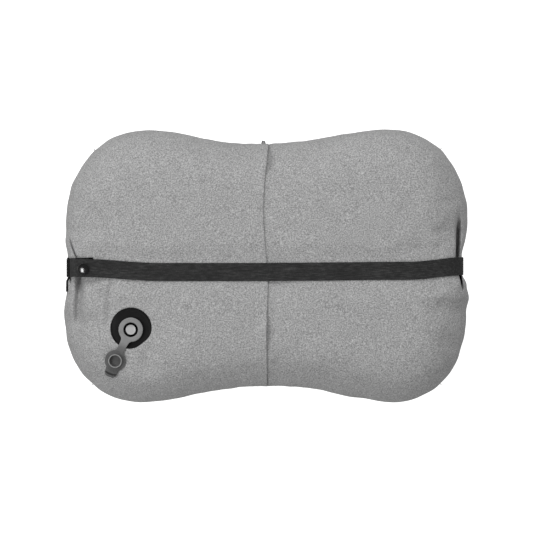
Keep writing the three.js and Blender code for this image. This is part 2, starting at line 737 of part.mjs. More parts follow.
// The stud's head is open underneath for the post.
function snapStud() {
  const discTop = STUD_BOTTOM + STUD_DISC_THICKNESS;
  const profile = [
    [STUD_BORE_RADIUS, STUD_BOTTOM],
    [SNAP_DISC_RADIUS, STUD_BOTTOM],
    [SNAP_DISC_RADIUS, discTop],
    [STUD_NECK_RADIUS, discTop],
    [STUD_HEAD_RADIUS, STUD_SHOULDER],
    [STUD_TOP_RADIUS, STUD_TOP],
    [STUD_VENT_RADIUS, STUD_TOP],
    [STUD_VENT_RADIUS, STUD_BORE_TOP],
    [STUD_BORE_RADIUS, STUD_BORE_TOP],
  ];
  return mesh("snap_stud", turned(profile, 24), SNAP_BLACK);
}

function snapSocket() {
  const roof = SOCKET_TOP - SOCKET_ROOF_THICKNESS;
  const profile = [
    [SOCKET_EYE_RADIUS, roof],
    [SOCKET_BORE_RADIUS, roof],
    [SOCKET_BORE_RADIUS, SOCKET_BOTTOM],
    [SOCKET_RADIUS, SOCKET_BOTTOM],
    [SOCKET_RADIUS, SOCKET_TOP],
    [SOCKET_EYE_RADIUS, SOCKET_TOP],
  ];
  return mesh("snap_socket", turned(profile, 24), SNAP_BLACK);
}

// The cap's domed head shows on the strap; its shank reaches down through the socket's eye.
function snapCap() {
  const dome = [0, 25, 50, 75, 90].map(degToRad).map((angle) => [
    SNAP_CAP_RADIUS * Math.cos(angle),
    SNAP_CAP_EDGE + (SNAP_CAP_TOP - SNAP_CAP_EDGE) * Math.sin(angle),
  ]);
  dome[dome.length - 1][0] = 0;
  const profile = [
    [0, SHANK_BOTTOM],
    [SHANK_RADIUS, SHANK_BOTTOM],
    [SHANK_RADIUS, SNAP_CAP_UNDERSIDE],
    [SNAP_CAP_RADIUS, SNAP_CAP_UNDERSIDE],
    ...dome,
  ];
  return mesh("snap_cap", turned(profile, 24), SNAP_BLACK);
}

function snap() {
  const frame = snapFrame();
  frame.add(snapPost(), snapStud(), snapSocket(), snapCap());
  return frame;
}

// --- Assembly -----------------------------------------------------------------------------------

const pillow = new THREE.Group();
pillow.name = "camp_pillow";
pillow.add(coverFrontPanel(), coverBackPanelLeft(), coverBackPanelRight());
pillow.add(...bladderFilms(), ...baffles());
pillow.add(valveFlange(), valve());
pillow.add(strapBand(), strapEnd(), strapTab(), snap());

export default pillow;
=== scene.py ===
"""Looks of the inflatable camp pillow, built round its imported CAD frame.

Metres, in the frame's own axes: +Z out of the back face, +X along the strap, +Y across it.
"""

import json
import math
from functools import reduce

import bpy
import numpy as np
from mathutils import Matrix, Vector
from mathutils.kdtree import KDTree


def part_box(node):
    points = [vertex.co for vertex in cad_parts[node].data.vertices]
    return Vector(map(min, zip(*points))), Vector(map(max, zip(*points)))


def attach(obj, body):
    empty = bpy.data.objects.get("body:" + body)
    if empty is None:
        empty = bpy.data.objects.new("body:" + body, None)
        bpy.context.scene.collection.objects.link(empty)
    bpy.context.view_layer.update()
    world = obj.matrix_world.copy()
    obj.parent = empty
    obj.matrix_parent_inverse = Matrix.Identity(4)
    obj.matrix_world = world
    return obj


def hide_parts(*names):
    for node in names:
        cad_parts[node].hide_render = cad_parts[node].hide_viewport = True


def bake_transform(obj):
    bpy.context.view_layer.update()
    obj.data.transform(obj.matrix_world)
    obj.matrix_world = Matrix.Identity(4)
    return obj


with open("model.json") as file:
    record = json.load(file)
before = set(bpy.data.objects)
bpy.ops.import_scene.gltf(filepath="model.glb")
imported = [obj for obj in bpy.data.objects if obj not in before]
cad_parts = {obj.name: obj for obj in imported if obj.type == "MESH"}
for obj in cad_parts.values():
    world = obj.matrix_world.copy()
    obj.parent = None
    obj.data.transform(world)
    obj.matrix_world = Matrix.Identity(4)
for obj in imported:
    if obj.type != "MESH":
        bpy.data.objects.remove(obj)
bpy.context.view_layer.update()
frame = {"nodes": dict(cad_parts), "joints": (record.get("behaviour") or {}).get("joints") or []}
MM = 0.001


# --- Driving dimensions, from the frame ---


def middle(node):
    low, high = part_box(node)
    return (low + high) / 2


def mean_point(node):
    """The mean of a CAD node's vertices, which is on its axis for a turned part."""
    vertices = frame["nodes"][node].data.vertices
    return sum((v.co for v in vertices), Vector()) / len(vertices)


def joint(name):
    return next(j for j in frame["joints"] if j["name"] == name)


LEFT, RIGHT = -1, 1
HALF_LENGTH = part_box("cover_front_panel")[1].x
HALF_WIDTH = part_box("cover_front_panel")[1].y
SEAM_Z = (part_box("cover_front_panel")[1].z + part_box("cover_back_panel_left")[0].z) / 2
TOP_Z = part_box("cover_back_panel_left")[1].z
STRAP_Y = middle("strap_band").y
STRAP_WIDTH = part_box("strap_band")[1].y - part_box("strap_band")[0].y
VALVE = middle("valve_button").xy

LOBE_X = 133 * MM
CORNER_Y = 48 * MM
WAIST_TOP = 133.6 * MM
WAIST_BOTTOM = 130.3 * MM
EDGE_WIDTH = 60 * MM
ROUNDNESS = 2.3
SQUARED_ROUNDNESS = 4.5
UNEVENNESS = 0.0012
GROOVE = 1.5 * MM
GROOVE_TOP_ANGLE = math.radians(75)
CROWN = 3 * MM
WAIST_DIP = 1.2 * MM
STRAP_PRESS = 1.4 * MM
STRAP_SAG = 3 * MM
HOLE_RADIUS = 22.8 * MM
HOLE_SHIFT = Vector((0.4, 1.5)) * MM
HOLE_FLAT = 2.2 * MM
HOLE_FLAT_ANGLE = math.radians(-52)

# How far the strap draws each side in, and the lengths above and below it where that is whole and
# where it fades, in mm.
STRAP_DRAW = {
    LEFT: (2.8 * MM, (14, 24), (20, 24)),
    RIGHT: (6.2 * MM, (12, 3), (36, 14)),
}

# Lengths above and below the strap where the cover is pressed whole, and where that fades, in mm.
UNDER_STRAP = (9, 9), (4, 4)

# The bulge of the edge below the strap's right end: height, place from the strap and width in mm.
BULGE = (2.6, -30, 9)

# Each quarter of the outline: how far it reaches along X and along Y, and how square its corner is.
QUARTERS = {
    (RIGHT, 1): (HALF_LENGTH - 1.4 * MM, HALF_WIDTH, 2.12),
    (RIGHT, -1): (HALF_LENGTH - 3.0 * MM, HALF_WIDTH - 1.2 * MM, 2.25),
    (LEFT, 1): (HALF_LENGTH - 1.2 * MM, HALF_WIDTH - 0.8 * MM, 2.03),
    (LEFT, -1): (HALF_LENGTH + 0.6 * MM, HALF_WIDTH - 1.4 * MM, 2.22),
}

# Where each quarter's edge swells or falls in between waist and crest: height, X and width in mm.
SLACK = {
    (RIGHT, 1): (0.5, 26, 20),
    (RIGHT, -1): (-1.8, 108, 12),
    (LEFT, 1): (-1.9, 54, 28),
    (LEFT, -1): (1.2, 50, 28),
}


def smooth(value, low, high):
    t = np.clip((value - low) / (high - low), 0, 1)
    return t * t * (3 - 2 * t)


def bell(value, centre, width):
    return np.exp(-(((value - centre) / width) ** 2))


def humps(value, *shapes):
    """A sum of bells, each given by its height, place and width in mm."""
    return sum(height * MM * bell(value, at * MM, width * MM) for height, at, width in shapes)


def unit(vectors):
    return vectors / np.maximum(np.linalg.norm(vectors, axis=-1, keepdims=True), 1e-12)


# --- Pillow surface ---


def pull(y, flat, fade):
    """1 beside the strap, falling to 0 over a length that may differ above and below it."""
    off = y - STRAP_Y
    flat = np.where(off > 0, flat[0], flat[1])
    fade = np.where(off > 0, fade[0], fade[1])
    return 1 - smooth(np.abs(off), flat * MM, (flat + fade) * MM)


def side_reach(side, y):
    """X of a side of the outline, drawn in where the strap pulls on it."""
    upper, lower = QUARTERS[side, 1][0], QUARTERS[side, -1][0]
    depth, whole, fading = STRAP_DRAW[side]
    reach = lower + (upper - lower) * smooth(y, -CORNER_Y, CORNER_Y) - depth * pull(y, whole, fading)
    if side == LEFT:
        return reach - GROOVE * pull(y, *UNDER_STRAP)
    return reach + humps(y - STRAP_Y, BULGE)


def corner_points(side, flip, turn):
    reach, half_width, squareness = QUARTERS[side, flip]
    across = LOBE_X + (reach - LOBE_X) * np.cos(turn) ** (2 / squareness)
    up = CORNER_Y + (half_width - CORNER_Y) * np.sin(turn) ** (2 / squareness)
    return np.stack([side * across, flip * up], 1)


def waist_points(side, flip, x):
    """From a lobe's crest (x = LOBE_X) to the middle of the pillow (x = 0)."""
    crest = QUARTERS[side, flip][1]
    waist, sharpness = (WAIST_TOP, 1.05) if flip > 0 else (WAIST_BOTTOM, 1.55)
    swell = ((1 - np.cos(np.pi * x / LOBE_X)) / 2) ** sharpness
    edge = waist + (crest - waist) * swell + humps(x, SLACK[side, flip])
    return np.stack([side * x, flip * edge], 1)


def outline():
    """The outline as a closed counterclockwise line of points."""
    y = np.linspace(-CORNER_Y, CORNER_Y, 120, endpoint=False)
    turn = np.linspace(0, np.pi / 2, 160, endpoint=False)
    x = np.linspace(LOBE_X, 0, 120, endpoint=False)

    def side_points(side, y):
        return np.stack([side * side_reach(side, y), y], 1)

    def half_turn(first, second, flip):
        return [
            corner_points(first, flip, turn),
            waist_points(first, flip, x),
            waist_points(second, flip, x)[::-1],
            corner_points(second, flip, turn)[::-1],
        ]

    line = np.concatenate([
        side_points(RIGHT, y),
        *half_turn(RIGHT, LEFT, 1),
        side_points(LEFT, -y),
        *half_turn(LEFT, RIGHT, -1),
    ])
    turn = np.arctan2(line[:, 1], line[:, 0])
    uneven = np.sin(23 * turn + 1) + 0.8 * np.sin(41 * turn + 2.2) + 0.6 * np.sin(67 * turn)
    return line * (1 + UNEVENNESS * uneven)[:, None]


OUTLINE = outline()
OUTLINE_TURN = np.arctan2(OUTLINE[:, 1] / HALF_WIDTH, OUTLINE[:, 0] / HALF_LENGTH)
OUTLINE_SCALE = np.hypot(OUTLINE[:, 0] / HALF_LENGTH, OUTLINE[:, 1] / HALF_WIDTH)
OUTLINE_ORDER = np.argsort(OUTLINE_TURN)


def from_square(u, v):
    """Maps the square [-1, 1] x [-1, 1] on to the outline, with its sides on the outline's sides."""
    a = u * np.sqrt(1 - v * v / 2)
    b = v * np.sqrt(1 - u * u / 2)
    turns = OUTLINE_TURN[OUTLINE_ORDER]
    scales = OUTLINE_SCALE[OUTLINE_ORDER]
    scale = np.interp(np.arctan2(b, a), turns, scales, period=2 * np.pi)
    return scale * HALF_LENGTH * a, scale * HALF_WIDTH * b


def edge_distance(x, y):
    """Each point's distance to the outline."""
    points = np.stack([np.ravel(x), np.ravel(y)], 1)
    size2 = (OUTLINE**2).sum(1)
    nearest = np.empty(len(points), int)
    for i in range(0, len(points), 4000):
        nearest[i : i + 4000] = (size2 - 2 * points[i : i + 4000] @ OUTLINE.T).argmin(1)
    found = np.full(len(points), np.inf)
    for neighbour in (-1, 1):
        start = OUTLINE[nearest]
        step = OUTLINE[(nearest + neighbour) % len(OUTLINE)] - start
        length2 = np.maximum((step**2).sum(1), 1e-18)
        t = np.clip(((points - start) * step).sum(1) / length2, 0, 1)
        off = points - start - t[:, None] * step
        found = np.minimum(found, np.hypot(*off.T))
    return found.reshape(np.shape(x))


def side_pull(x, y):
    """How far the strap pulls the edge section square: 1 beside it, 0 away from it."""
    on_side = smooth(np.abs(x), LOBE_X, LOBE_X + 20 * MM)
    return on_side * pull(y, (12, np.where(x < 0, 24, 12)), (33, 33))


def strap_middle(x):
    """Y of the strap's middle line: it sags a little between its ends."""
    left = 4.4 * MM * smooth(-x, 115 * MM, 200 * MM)
    right = 1.4 * MM * smooth(x, -20 * MM, 170 * MM) + 5 * MM * smooth(x, 155 * MM, 214 * MM)
    return STRAP_Y - STRAP_SAG + left + right


def back_height(x, y, distance):
    """Z of the back face, from the seam round the edge to the crowned middle."""
    pulled = side_pull(x, y)
    roundness = ROUNDNESS + (SQUARED_ROUNDNESS - ROUNDNESS) * pulled
    share = np.clip(1 - distance / EDGE_WIDTH, 0, 1)
    height = TOP_Z - SEAM_Z - GROOVE * pulled * smooth(share, 0, 0.5)
    z = SEAM_Z + height * (1 - share**roundness) ** (1 / roundness)
    inner = smooth(distance, 0.45 * EDGE_WIDTH, 2.1 * EDGE_WIDTH)
    off_valve = smooth(np.hypot(x - VALVE.x, y - VALVE.y), HOLE_RADIUS, 3 * HOLE_RADIUS)
    z = z + CROWN * inner * off_valve
    z -= WAIST_DIP * bell(x, 0, 0.3 * HALF_LENGTH) * smooth(distance, 0, EDGE_WIDTH)
    on_top = smooth(distance, 0.8 * EDGE_WIDTH, 1.4 * EDGE_WIDTH)
    return z - STRAP_PRESS * bell(y, strap_middle(x), 0.8 * STRAP_WIDTH) * on_top


def front_height(_x, _y, distance):
    """Z of the sleeping face, which is flat where it rests on the floor."""
    share = np.clip(1 - distance / EDGE_WIDTH, 0, 1)
    return SEAM_Z - SEAM_Z * (1 - share**ROUNDNESS) ** (1 / ROUNDNESS)


def spaced(near, reach=math.inf, far=0.0):
    """The spacing of a grid at a position: near within reach of the middle, far beyond it."""
    return lambda position: near if position < reach else far


def grid_stops(half, rows, spacing):
    """Stops from -1 to 1: even round the edge section, and spaced by spacing(position) inside it."""
    angle = np.pi / 2 * np.linspace(0, 1, rows + 1) ** 1.1
    edge = EDGE_WIDTH * (1 - np.cos(angle).clip(0) ** (2 / ROUNDNESS))
    inner = [0.0]
    while inner[-1] < half - EDGE_WIDTH:
        inner.append(inner[-1] + spacing(inner[-1]))
    inner = np.array(inner) * (half - EDGE_WIDTH) / inner[-1]
    positive = np.concatenate([inner, half - edge[-2::-1]]) / half
    return np.concatenate([-positive[:0:-1], positive])


def hole_radius(turn):
    """The cover's opening round the valve, which is pulled a little flat on one side."""
    off = np.angle(np.exp(1j * (turn - HOLE_FLAT_ANGLE)))
    return HOLE_RADIUS - HOLE_FLAT * bell(off, 0, 0.5)


def grid_quads(index, flip=False):
    """The corners of each cell of a grid of point numbers, turned the other way when flipped."""
    a, b, c, d = index[:-1, :-1], index[:-1, 1:], index[1:, 1:], index[1:, :-1]
    return np.stack([a, d, c, b] if flip else [a, b, c, d], 2)


class Grid:
    """A face of the pillow as a grid of points, rows along v (Y) and columns along u (X)."""

    def __init__(self, height, rows, spacing_x, spacing_y=None, hem=None, hole=None):
        u = grid_stops(HALF_LENGTH, rows, spacing_x)
        v = grid_stops(WAIST_TOP, rows, spacing_y or spacing_x)
        self.u, self.v = np.meshgrid(u, v)
        self.x, self.y = from_square(self.u, self.v)
        self.kept = np.ones(np.subtract(self.x.shape, 1), bool)
        if hem is not None:
            self.x = self.x + hem(self.y) * (1 - smooth(np.abs(self.x), 0, 30 * MM))
        if hole is not None:
            self.open_hole(hole)
        self.distance = edge_distance(self.x, self.y)
        self.rim = (np.abs(self.u) == 1) | (np.abs(self.v) == 1)
        self.distance[self.rim] = 0
        z = height(self.x, self.y, self.distance)
        self.points = np.stack([self.x, self.y, z], 2)

    def from_hole(self):
        """Distance and direction from the middle of the opening to each point."""
        across = self.x - VALVE.x - HOLE_SHIFT.x
        up = self.y - VALVE.y - HOLE_SHIFT.y
        return np.hypot(across, up), np.arctan2(up, across)

    def open_hole(self, radius_at, reach=26 * MM, rounds=150):
        """Takes out the cells inside the opening and relaxes the ones about it on to its rim."""
        radius, turn = self.from_hole()
        inside = radius < radius_at(turn)
        corners = [inside[:-1, :-1], inside[:-1, 1:], inside[1:, :-1], inside[1:, 1:]]
        self.kept = np.sum(corners, 0) < 3
        padded = np.pad(self.kept, 1).astype(int)
        about = padded[:-1, :-1] + padded[:-1, 1:] + padded[1:, :-1] + padded[1:, 1:]
        on_rim = (about > 0) & (about < 4) & (radius < radius_at(turn) + reach)
        live = about > 0
        free = live & ~on_rim & (radius < radius_at(turn) + reach)
        count = sum(np.roll(live, shift, axis) for axis in (0, 1) for shift in (-1, 1))
        for _ in range(rounds):
            for values in (self.x, self.y):
                held = values * live
                total = sum(np.roll(held, shift, axis) for axis in (0, 1) for shift in (-1, 1))
                mean = total / np.maximum(count, 1)
                values[free | on_rim] = mean[free | on_rim]
            radius, turn = self.from_hole()
            wanted = radius_at(turn[on_rim])
            self.x[on_rim] = VALVE.x + HOLE_SHIFT.x + wanted * np.cos(turn[on_rim])
            self.y[on_rim] = VALVE.y + HOLE_SHIFT.y + wanted * np.sin(turn[on_rim])

    def normals(self, outward):
        normal = np.cross(np.gradient(self.points, axis=1), np.gradient(self.points, axis=0))
        normal = normal * outward
        normal[self.rim, 2] = 0
        return unit(normal)

    def faces(self, flip=False, keep=None):
        """Quads that face up, or down when flipped, where all four corners are kept."""
        index = np.arange(self.x.size).reshape(self.x.shape)
        quads = grid_quads(index, flip)[self.kept]
        return quads if keep is None else quads[keep.ravel()[quads].all(1)]


# --- Cloth simulation ---

CLOTH_VOXEL = 6 * MM
CLOTH_FRAMES = 20
CLOTH = {
    "quality": 6,
    "mass": 0.3,
    "tension_stiffness": 15,
    "compression_stiffness": 15,
    "shear_stiffness": 5,
    "bending_stiffness": 0.3,
    "shrink_min": -0.02,
    "use_pressure": True,
    "uniform_pressure_force": 4,
}
CLOTH_CAP = 3 * MM


def add_mesh(name, points, faces):
    mesh = bpy.data.meshes.new(name)
    mesh.from_pydata(np.asarray(points, float).tolist(), [], [tuple(map(int, f)) for f in faces])
    mesh.update()
    made = bpy.data.objects.new(name, mesh)
    bpy.context.scene.collection.objects.link(made)
    return made


def evaluated_points(made):
    found = made.evaluated_get(bpy.context.evaluated_depsgraph_get())
    points = np.empty(len(found.data.vertices) * 3, np.float32)
    found.data.vertices.foreach_get("co", points)
    return points.reshape(-1, 3).astype(float)


def closed_body():
    """The whole pillow as one closed mesh, remeshed evenly for the cloth solver."""
    back = Grid(back_height, 10, spaced(8 * MM))
    front = Grid(front_height, 10, spaced(8 * MM))
    points = np.concatenate([back.points.reshape(-1, 3), front.points.reshape(-1, 3)])
    faces = np.concatenate([back.faces(), front.faces(flip=True) + back.x.size])
    made = add_mesh("cloth_body", points, faces)
    weld = made.modifiers.new("weld", "WELD")
    weld.merge_threshold = 0.01 * MM
    remesh = made.modifiers.new("remesh", "REMESH")
    remesh.mode = "VOXEL"
    remesh.voxel_size = CLOTH_VOXEL
    graph = bpy.context.evaluated_depsgraph_get()
    mesh = bpy.data.meshes.new_from_object(made.evaluated_get(graph))
    made.modifiers.clear()
    made.data = mesh
    return made


def cloth_pins(points):
    """The fabric is held under the strap, round the valve and where it lies on the floor."""
    x, y, z = points.T
    under_strap = (np.abs(y - STRAP_Y) < 0.45 * STRAP_WIDTH) & (z > SEAM_Z)
    at_valve = (np.hypot(x - VALVE.x, y - VALVE.y) < 1.25 * HOLE_RADIUS) & (z > SEAM_Z)
    return under_strap | at_valve | (z < 2 * MM)


def cloth_moves():
    """Where the cloth solver moves the cover under air pressure: rest points and their moves."""
    body = closed_body()
    rest = evaluated_points(body)
    pins = body.vertex_groups.new(name="pins")
    pins.add([int(i) for i in np.flatnonzero(cloth_pins(rest))], 1.0, "REPLACE")
    cloth = body.modifiers.new("cloth", "CLOTH")
    for name, value in CLOTH.items():
        setattr(cloth.settings, name, value)
    cloth.settings.effector_weights.gravity = 0
    cloth.settings.vertex_group_mass = "pins"
    cloth.collision_settings.use_collision = False
    cloth.point_cache.frame_end = CLOTH_FRAMES
    for number in range(1, CLOTH_FRAMES + 1):
        bpy.context.scene.frame_set(number)
    moved = evaluated_points(body) - rest
    bpy.data.objects.remove(body)
    bpy.context.scene.frame_set(1)
    length = np.linalg.norm(moved, axis=1, keepdims=True)
    return rest, moved * CLOTH_CAP / np.hypot(CLOTH_CAP, length)


class Swell:
    """The simulated move of the nearest fabric, for any point of the cover."""

    def __init__(self):
        self.tree = None
        rest, self.moves = cloth_moves()
        self.tree = KDTree(len(rest))
        for i, point in enumerate(rest):
            self.tree.insert(point, i)
        self.tree.balance()

    def __call__(self, grid):
        """The moves of a grid's points; the outline itself stays where it is."""
        if self.tree is None:
            return np.zeros_like(grid.points)
        flat = grid.points.reshape(-1, 3)
        moved = np.empty_like(flat)
        for i, point in enumerate(flat):
            near = self.tree.find_n(point, 5)
            weights = np.array([1 / (distance + CLOTH_VOXEL / 4) ** 2 for _, _, distance in near])
            moved[i] = weights @ self.moves[[index for _, index, _ in near]] / weights.sum()
        inland = smooth(grid.distance, 0, 0.5 * EDGE_WIDTH)
        off_strap = np.abs(grid.y - strap_middle(grid.x))
        free = smooth(off_strap, 0.6 * STRAP_WIDTH, 1.6 * STRAP_WIDTH)
        free = np.where(grid.points[..., 2] > SEAM_Z, free, 1)
        return moved.reshape(grid.points.shape) * (inland * free)[..., None]


SWELL = Swell()


# --- Fabric details ---

FABRIC = 0.9 * MM
LAP_STEP = 1.9 * MM
LAP_UNDER = 42 * MM
SEAM_DRAW = 1.3 * MM
WAVES = 0.45 * MM
HEM_WIDTH = 12.5 * MM
HOLE_HEM = 3.6 * MM

# Along the lap, each as height, Y and width in mm: where its edge wanders, where it stands open,
# and where the panel beneath it dips.
HEM_WANDER = [(-3.9, 62, 46), (1.3, -20, 20), (-0.8, -75, 22)]
LAP_GAPS = [(3.2, 116, 12), (2.8, -72, 16)]
LAP_DIPS = [(2.6, 114, 12), (2.2, -72, 15)]

STITCH_PITCH = 2.6 * MM
BARTACK = Vector((-9.5, -21.5)) * MM
BARTACK_SIZE = (6 * MM, 8 * MM)


def hem_line(y):
    """X of the lap's edge, which wanders a little as sewn edges do."""
    return 1.6 * MM * smooth(y, 95 * MM, 132 * MM) + humps(y, *HEM_WANDER) - 0.2 * MM


class Fold:
    """A fold of the cover along a line from start to end, in X and Y, deepest at its start.

    Its walls are inner wide towards the pillow's middle and outer wide towards its side, each given
    at the start and at the end. The line bows sideways by bow, and the fold keeps its whole depth for
    the share of its length in hold. All but hold is in mm.
    """

    def __init__(self, start, end, depth, inner, outer, bow=0.0, hold=0.0):
        self.start = np.array(start) * MM
        self.step = np.array(end) * MM - self.start
        self.depth = depth * MM
        self.inner = np.array(inner) * MM
        self.outer = np.array(outer) * MM
        self.bow = bow * MM
        self.hold = hold

    def __call__(self, x, y):
        length = np.hypot(*self.step)
        along_x, along_y = self.step / length
        across, up = x - self.start[0], y - self.start[1]
        t = (across * along_x + up * along_y) / length
        inside = np.clip(t, 0, 1)
        off = across * along_y - up * along_x - self.bow * 4 * inside * (1 - inside)
        off = off * np.sign(self.start[0]) * np.sign(self.step[1])
        beyond = np.where(t < 0, t, np.maximum(t - 1, 0)) * length
        width = np.where(off < 0, self.inner[0], self.outer[0]) * (1 - inside)
        width = width + np.where(off < 0, self.inner[1], self.outer[1]) * inside
        ending = (np.clip(inside, self.hold, 1) - self.hold) / (1 - self.hold)
        fade = np.cos(ending * np.pi / 2) ** 2
        return -self.depth * fade * np.exp(-((off / width) ** 2) - (beyond / width) ** 2)


FOLDS = [
    # Beside the strap's right end the fabric folds over on itself, above and below.
    Fold((205.7, 4), (209.2, 68), 38, (0.9, 2.2), (1.7, 2.8), hold=0.15),
    Fold((209.0, -8), (212.8, -30), 24, (0.8, 0.8), (1.0, 1.1), bow=-0.5, hold=0.3),
    # Fine creases run into the left end, and a soft fold runs down from it.
    Fold((-205.8, 8), (-216.5, 38), 8, (0.8, 0.7), (0.8, 0.7), bow=-0.6, hold=0.5),
    Fold((-213, -10), (-212.6, -22), 8, (0.8, 0.8), (0.8, 0.8), hold=0.2),
    Fold((-202.0, -10), (-203.6, -30), 4.2, (1.4, 3.4), (1.2, 3.0), hold=0.1),
    Fold((-202.6, -12), (-206.5, -92), 11, (4.6, 6.0), (4.0, 4.6), hold=0.35),
    Fold((-169, -22), (-172.5, -76), 3.6, (3.8, 4.8), (3.8, 4.8), hold=0.4),
    # Faint slack in the cover next to the strap and the valve.
    Fold((186, 8), (190, 46), 1.1, (4.0, 7.0), (4.0, 7.0)),
    Fold((184, -14), (188, -44), 0.9, (4.0, 6.0), (4.0, 6.0)),
    Fold((-122, -58), (-121, -84), 0.8, (0.9, 1.2), (0.9, 1.2)),
    Fold((-196, -110), (-160, -128), 0.9, (4.0, 6.0), (4.0, 6.0)),
]


def folded(x, y):
    """How far all folds together lower the cover."""
    return sum(fold(x, y) for fold in FOLDS)


def lowest_fold(x, y, reach=4 * MM, steps=9):
    """The lowest the folds go within reach of each point, for what lies under the cover."""
    shifts = np.linspace(-reach, reach, steps)
    return np.min([folded(x + across, y + up) for across in shifts for up in (-reach, 0, reach)], 0)


def seam_groove(z, along):
    """The sewn seam draws the fabric in, with small puckers along it."""
    pucker = 0.3 * MM * np.sin(along * 900) + 0.2 * MM * np.sin(along * 1730 + 1)
    return -(SEAM_DRAW + pucker) * bell(z, SEAM_Z, 3 * MM)


def soft_waves(x, y):
    """Broad shallow unevenness of fabric over an air bladder."""
    waves = np.sin(38 * x + 21 * y + 1.3) * np.sin(47 * y - 12 * x + 0.4)
    waves += 0.6 * np.sin(83 * x - 31 * y) * np.sin(71 * y + 2.1)
    return WAVES * waves


def back_lift(grid):
    x, y, z = (grid.points[..., i] for i in range(3))
    loose = smooth(grid.distance, 0, 20 * MM)
    loose *= smooth(np.abs(y - STRAP_Y), 0.5 * STRAP_WIDTH, 2 * STRAP_WIDTH)
    return soft_waves(x, y) * loose + seam_groove(z, np.arctan2(y, x) * HALF_WIDTH)


def border_edges(faces):
    """The directed edges that belong to one face only."""
    start = faces.ravel()
    end = np.roll(faces, -1, 1).ravel()
    size = int(faces.max()) + 1
    keys = np.minimum(start, end) * size + np.maximum(start, end)
    _, first, counts = np.unique(keys, return_index=True, return_counts=True)
    alone = first[counts == 1]
    return start[alone], end[alone]


def thick_sheet(name, points, faces, normals, thickness):
    """A closed solid from a sheet: its outer face, an inner face and a rounded rim between them."""
    points, normals = points.reshape(-1, 3), normals.reshape(-1, 3)
    used, faces = np.unique(faces, return_inverse=True)
    faces = faces.reshape(-1, 4)
    outer, normal = points[used], normals[used]
    depth = np.broadcast_to(thickness, len(points))[used][:, None]
    start, end = border_edges(faces)
    side = unit(np.cross(outer[end] - outer[start], normal[start]))
    away = np.zeros_like(outer)
    np.add.at(away, start, side)
    np.add.at(away, end, side)
    inner = outer - normal * depth
    rim = np.unique(start)
    bulge = (outer + inner) / 2 + unit(away) * depth * 0.4
    bulge_index = np.zeros(len(outer), int)
    bulge_index[rim] = 2 * len(outer) + np.arange(len(rim))
    upper = np.stack([end, start, bulge_index[start], bulge_index[end]], 1)
    lower = np.stack([bulge_index[end], bulge_index[start], start + len(outer), end + len(outer)], 1)
    made = add_mesh(
        name,
        np.concatenate([outer, inner, bulge[rim]]),
        np.concatenate([faces, faces[:, ::-1] + len(outer), upper, lower]),
    )
    made.data.shade_smooth()
    return made


# --- Cover panels and bladder films ---

SPACING_X = spaced(1.2 * MM, 16 * MM, 2.4 * MM)
SPACING_Y = spaced(1.2 * MM, 54 * MM, 2.4 * MM)
BACK = Grid(back_height, 60, SPACING_X, SPACING_Y, hem=hem_line, hole=hole_radius)
BACK.points = BACK.points + SWELL(BACK)
BACK.points[..., 2] += folded(BACK.x, BACK.y) * ~BACK.rim
BACK_NORMALS = BACK.normals(1)
BACK_LIFT = back_lift(BACK)


def stitches(across, along):
    """A row of stitches: a shallow channel with a deeper dip at each stitch."""
    beat = 0.5 + 0.5 * np.cos(2 * np.pi * along / STITCH_PITCH)
    return -(0.35 * MM + 0.3 * MM * beat) * bell(across, 0, 0.8 * MM)


def bartack(x, y):
    """The small sewn box that ends the hem's stitching below the strap."""
    off = np.maximum(np.abs(x - BARTACK.x) - 0.5 * BARTACK_SIZE[0],
                     np.abs(y - BARTACK.y) - 0.5 * BARTACK_SIZE[1])
    return -0.7 * MM * bell(off, 0, 0.8 * MM)


def cover_back_left():
    """The panel on top at the lap: hemmed edge, round hemmed opening for the valve."""
    from_hem = hem_line(BACK.y) - BACK.x
    on_hem = 1 - smooth(from_hem, 6 * MM, HEM_WIDTH)
    slack = 0.1 * MM + humps(BACK.y, *LAP_GAPS)
    lift = BACK_LIFT + slack * (1 - smooth(from_hem, 0, 14 * MM))
    lift += stitches(from_hem - HEM_WIDTH, BACK.y)
    lift += bartack(BACK.x, BACK.y)
    radius, turn = BACK.from_hole()
    past_rim = radius - hole_radius(turn)
    lift += 0.5 * MM * bell(past_rim, 1.2 * MM, 2.0 * MM)
    lift += stitches(past_rim - HOLE_HEM, turn * HOLE_RADIUS)
    points = BACK.points + BACK_NORMALS * lift[..., None]
    thickness = (FABRIC * (1 + 0.7 * on_hem)).ravel()
    faces = BACK.faces(keep=BACK.u <= 1e-9)
    return thick_sheet("cover_back_left", points, faces, BACK_NORMALS, thickness)


def cover_back_right():
    """The panel that runs on under the lap."""
    past_hem = BACK.x - hem_line(BACK.y)
    sunk = LAP_STEP * (1 - smooth(past_hem, 1 * MM, 45 * MM))
    sunk *= 1 - smooth(past_hem, 0, 3 * MM) * (1 - smooth(BACK.distance, 0, 14 * MM))
    lift = BACK_LIFT - sunk - humps(BACK.y, *LAP_DIPS) * bell(past_hem, 2 * MM, 5 * MM)
    lift += humps(past_hem, (0.4, 9, 5)) * np.sin(BACK.y * 60)
    points = BACK.points + BACK_NORMALS * lift[..., None]
    faces = BACK.faces(keep=BACK.x > -LAP_UNDER)
    return thick_sheet("cover_back_right", points, faces, BACK_NORMALS, FABRIC)


def cover_front():
    """The sleeping face, flat where it lies on the floor."""
    grid = Grid(front_height, 24, spaced(3.2 * MM))
    grid.points = grid.points + SWELL(grid)
    normals = grid.normals(-1)
    x, y, z = (grid.points[..., i] for i in range(3))
    lift = seam_groove(z, np.arctan2(y, x) * HALF_WIDTH)
    lift += soft_waves(x + 0.3, y) * smooth(z, 1 * MM, 15 * MM)
    points = grid.points + normals * lift[..., None]
    points[..., 2] = np.clip(points[..., 2], 0.05 * MM, SEAM_Z - 0.1 * MM)
    return thick_sheet("cover_front", points, grid.faces(flip=True), normals, FABRIC)


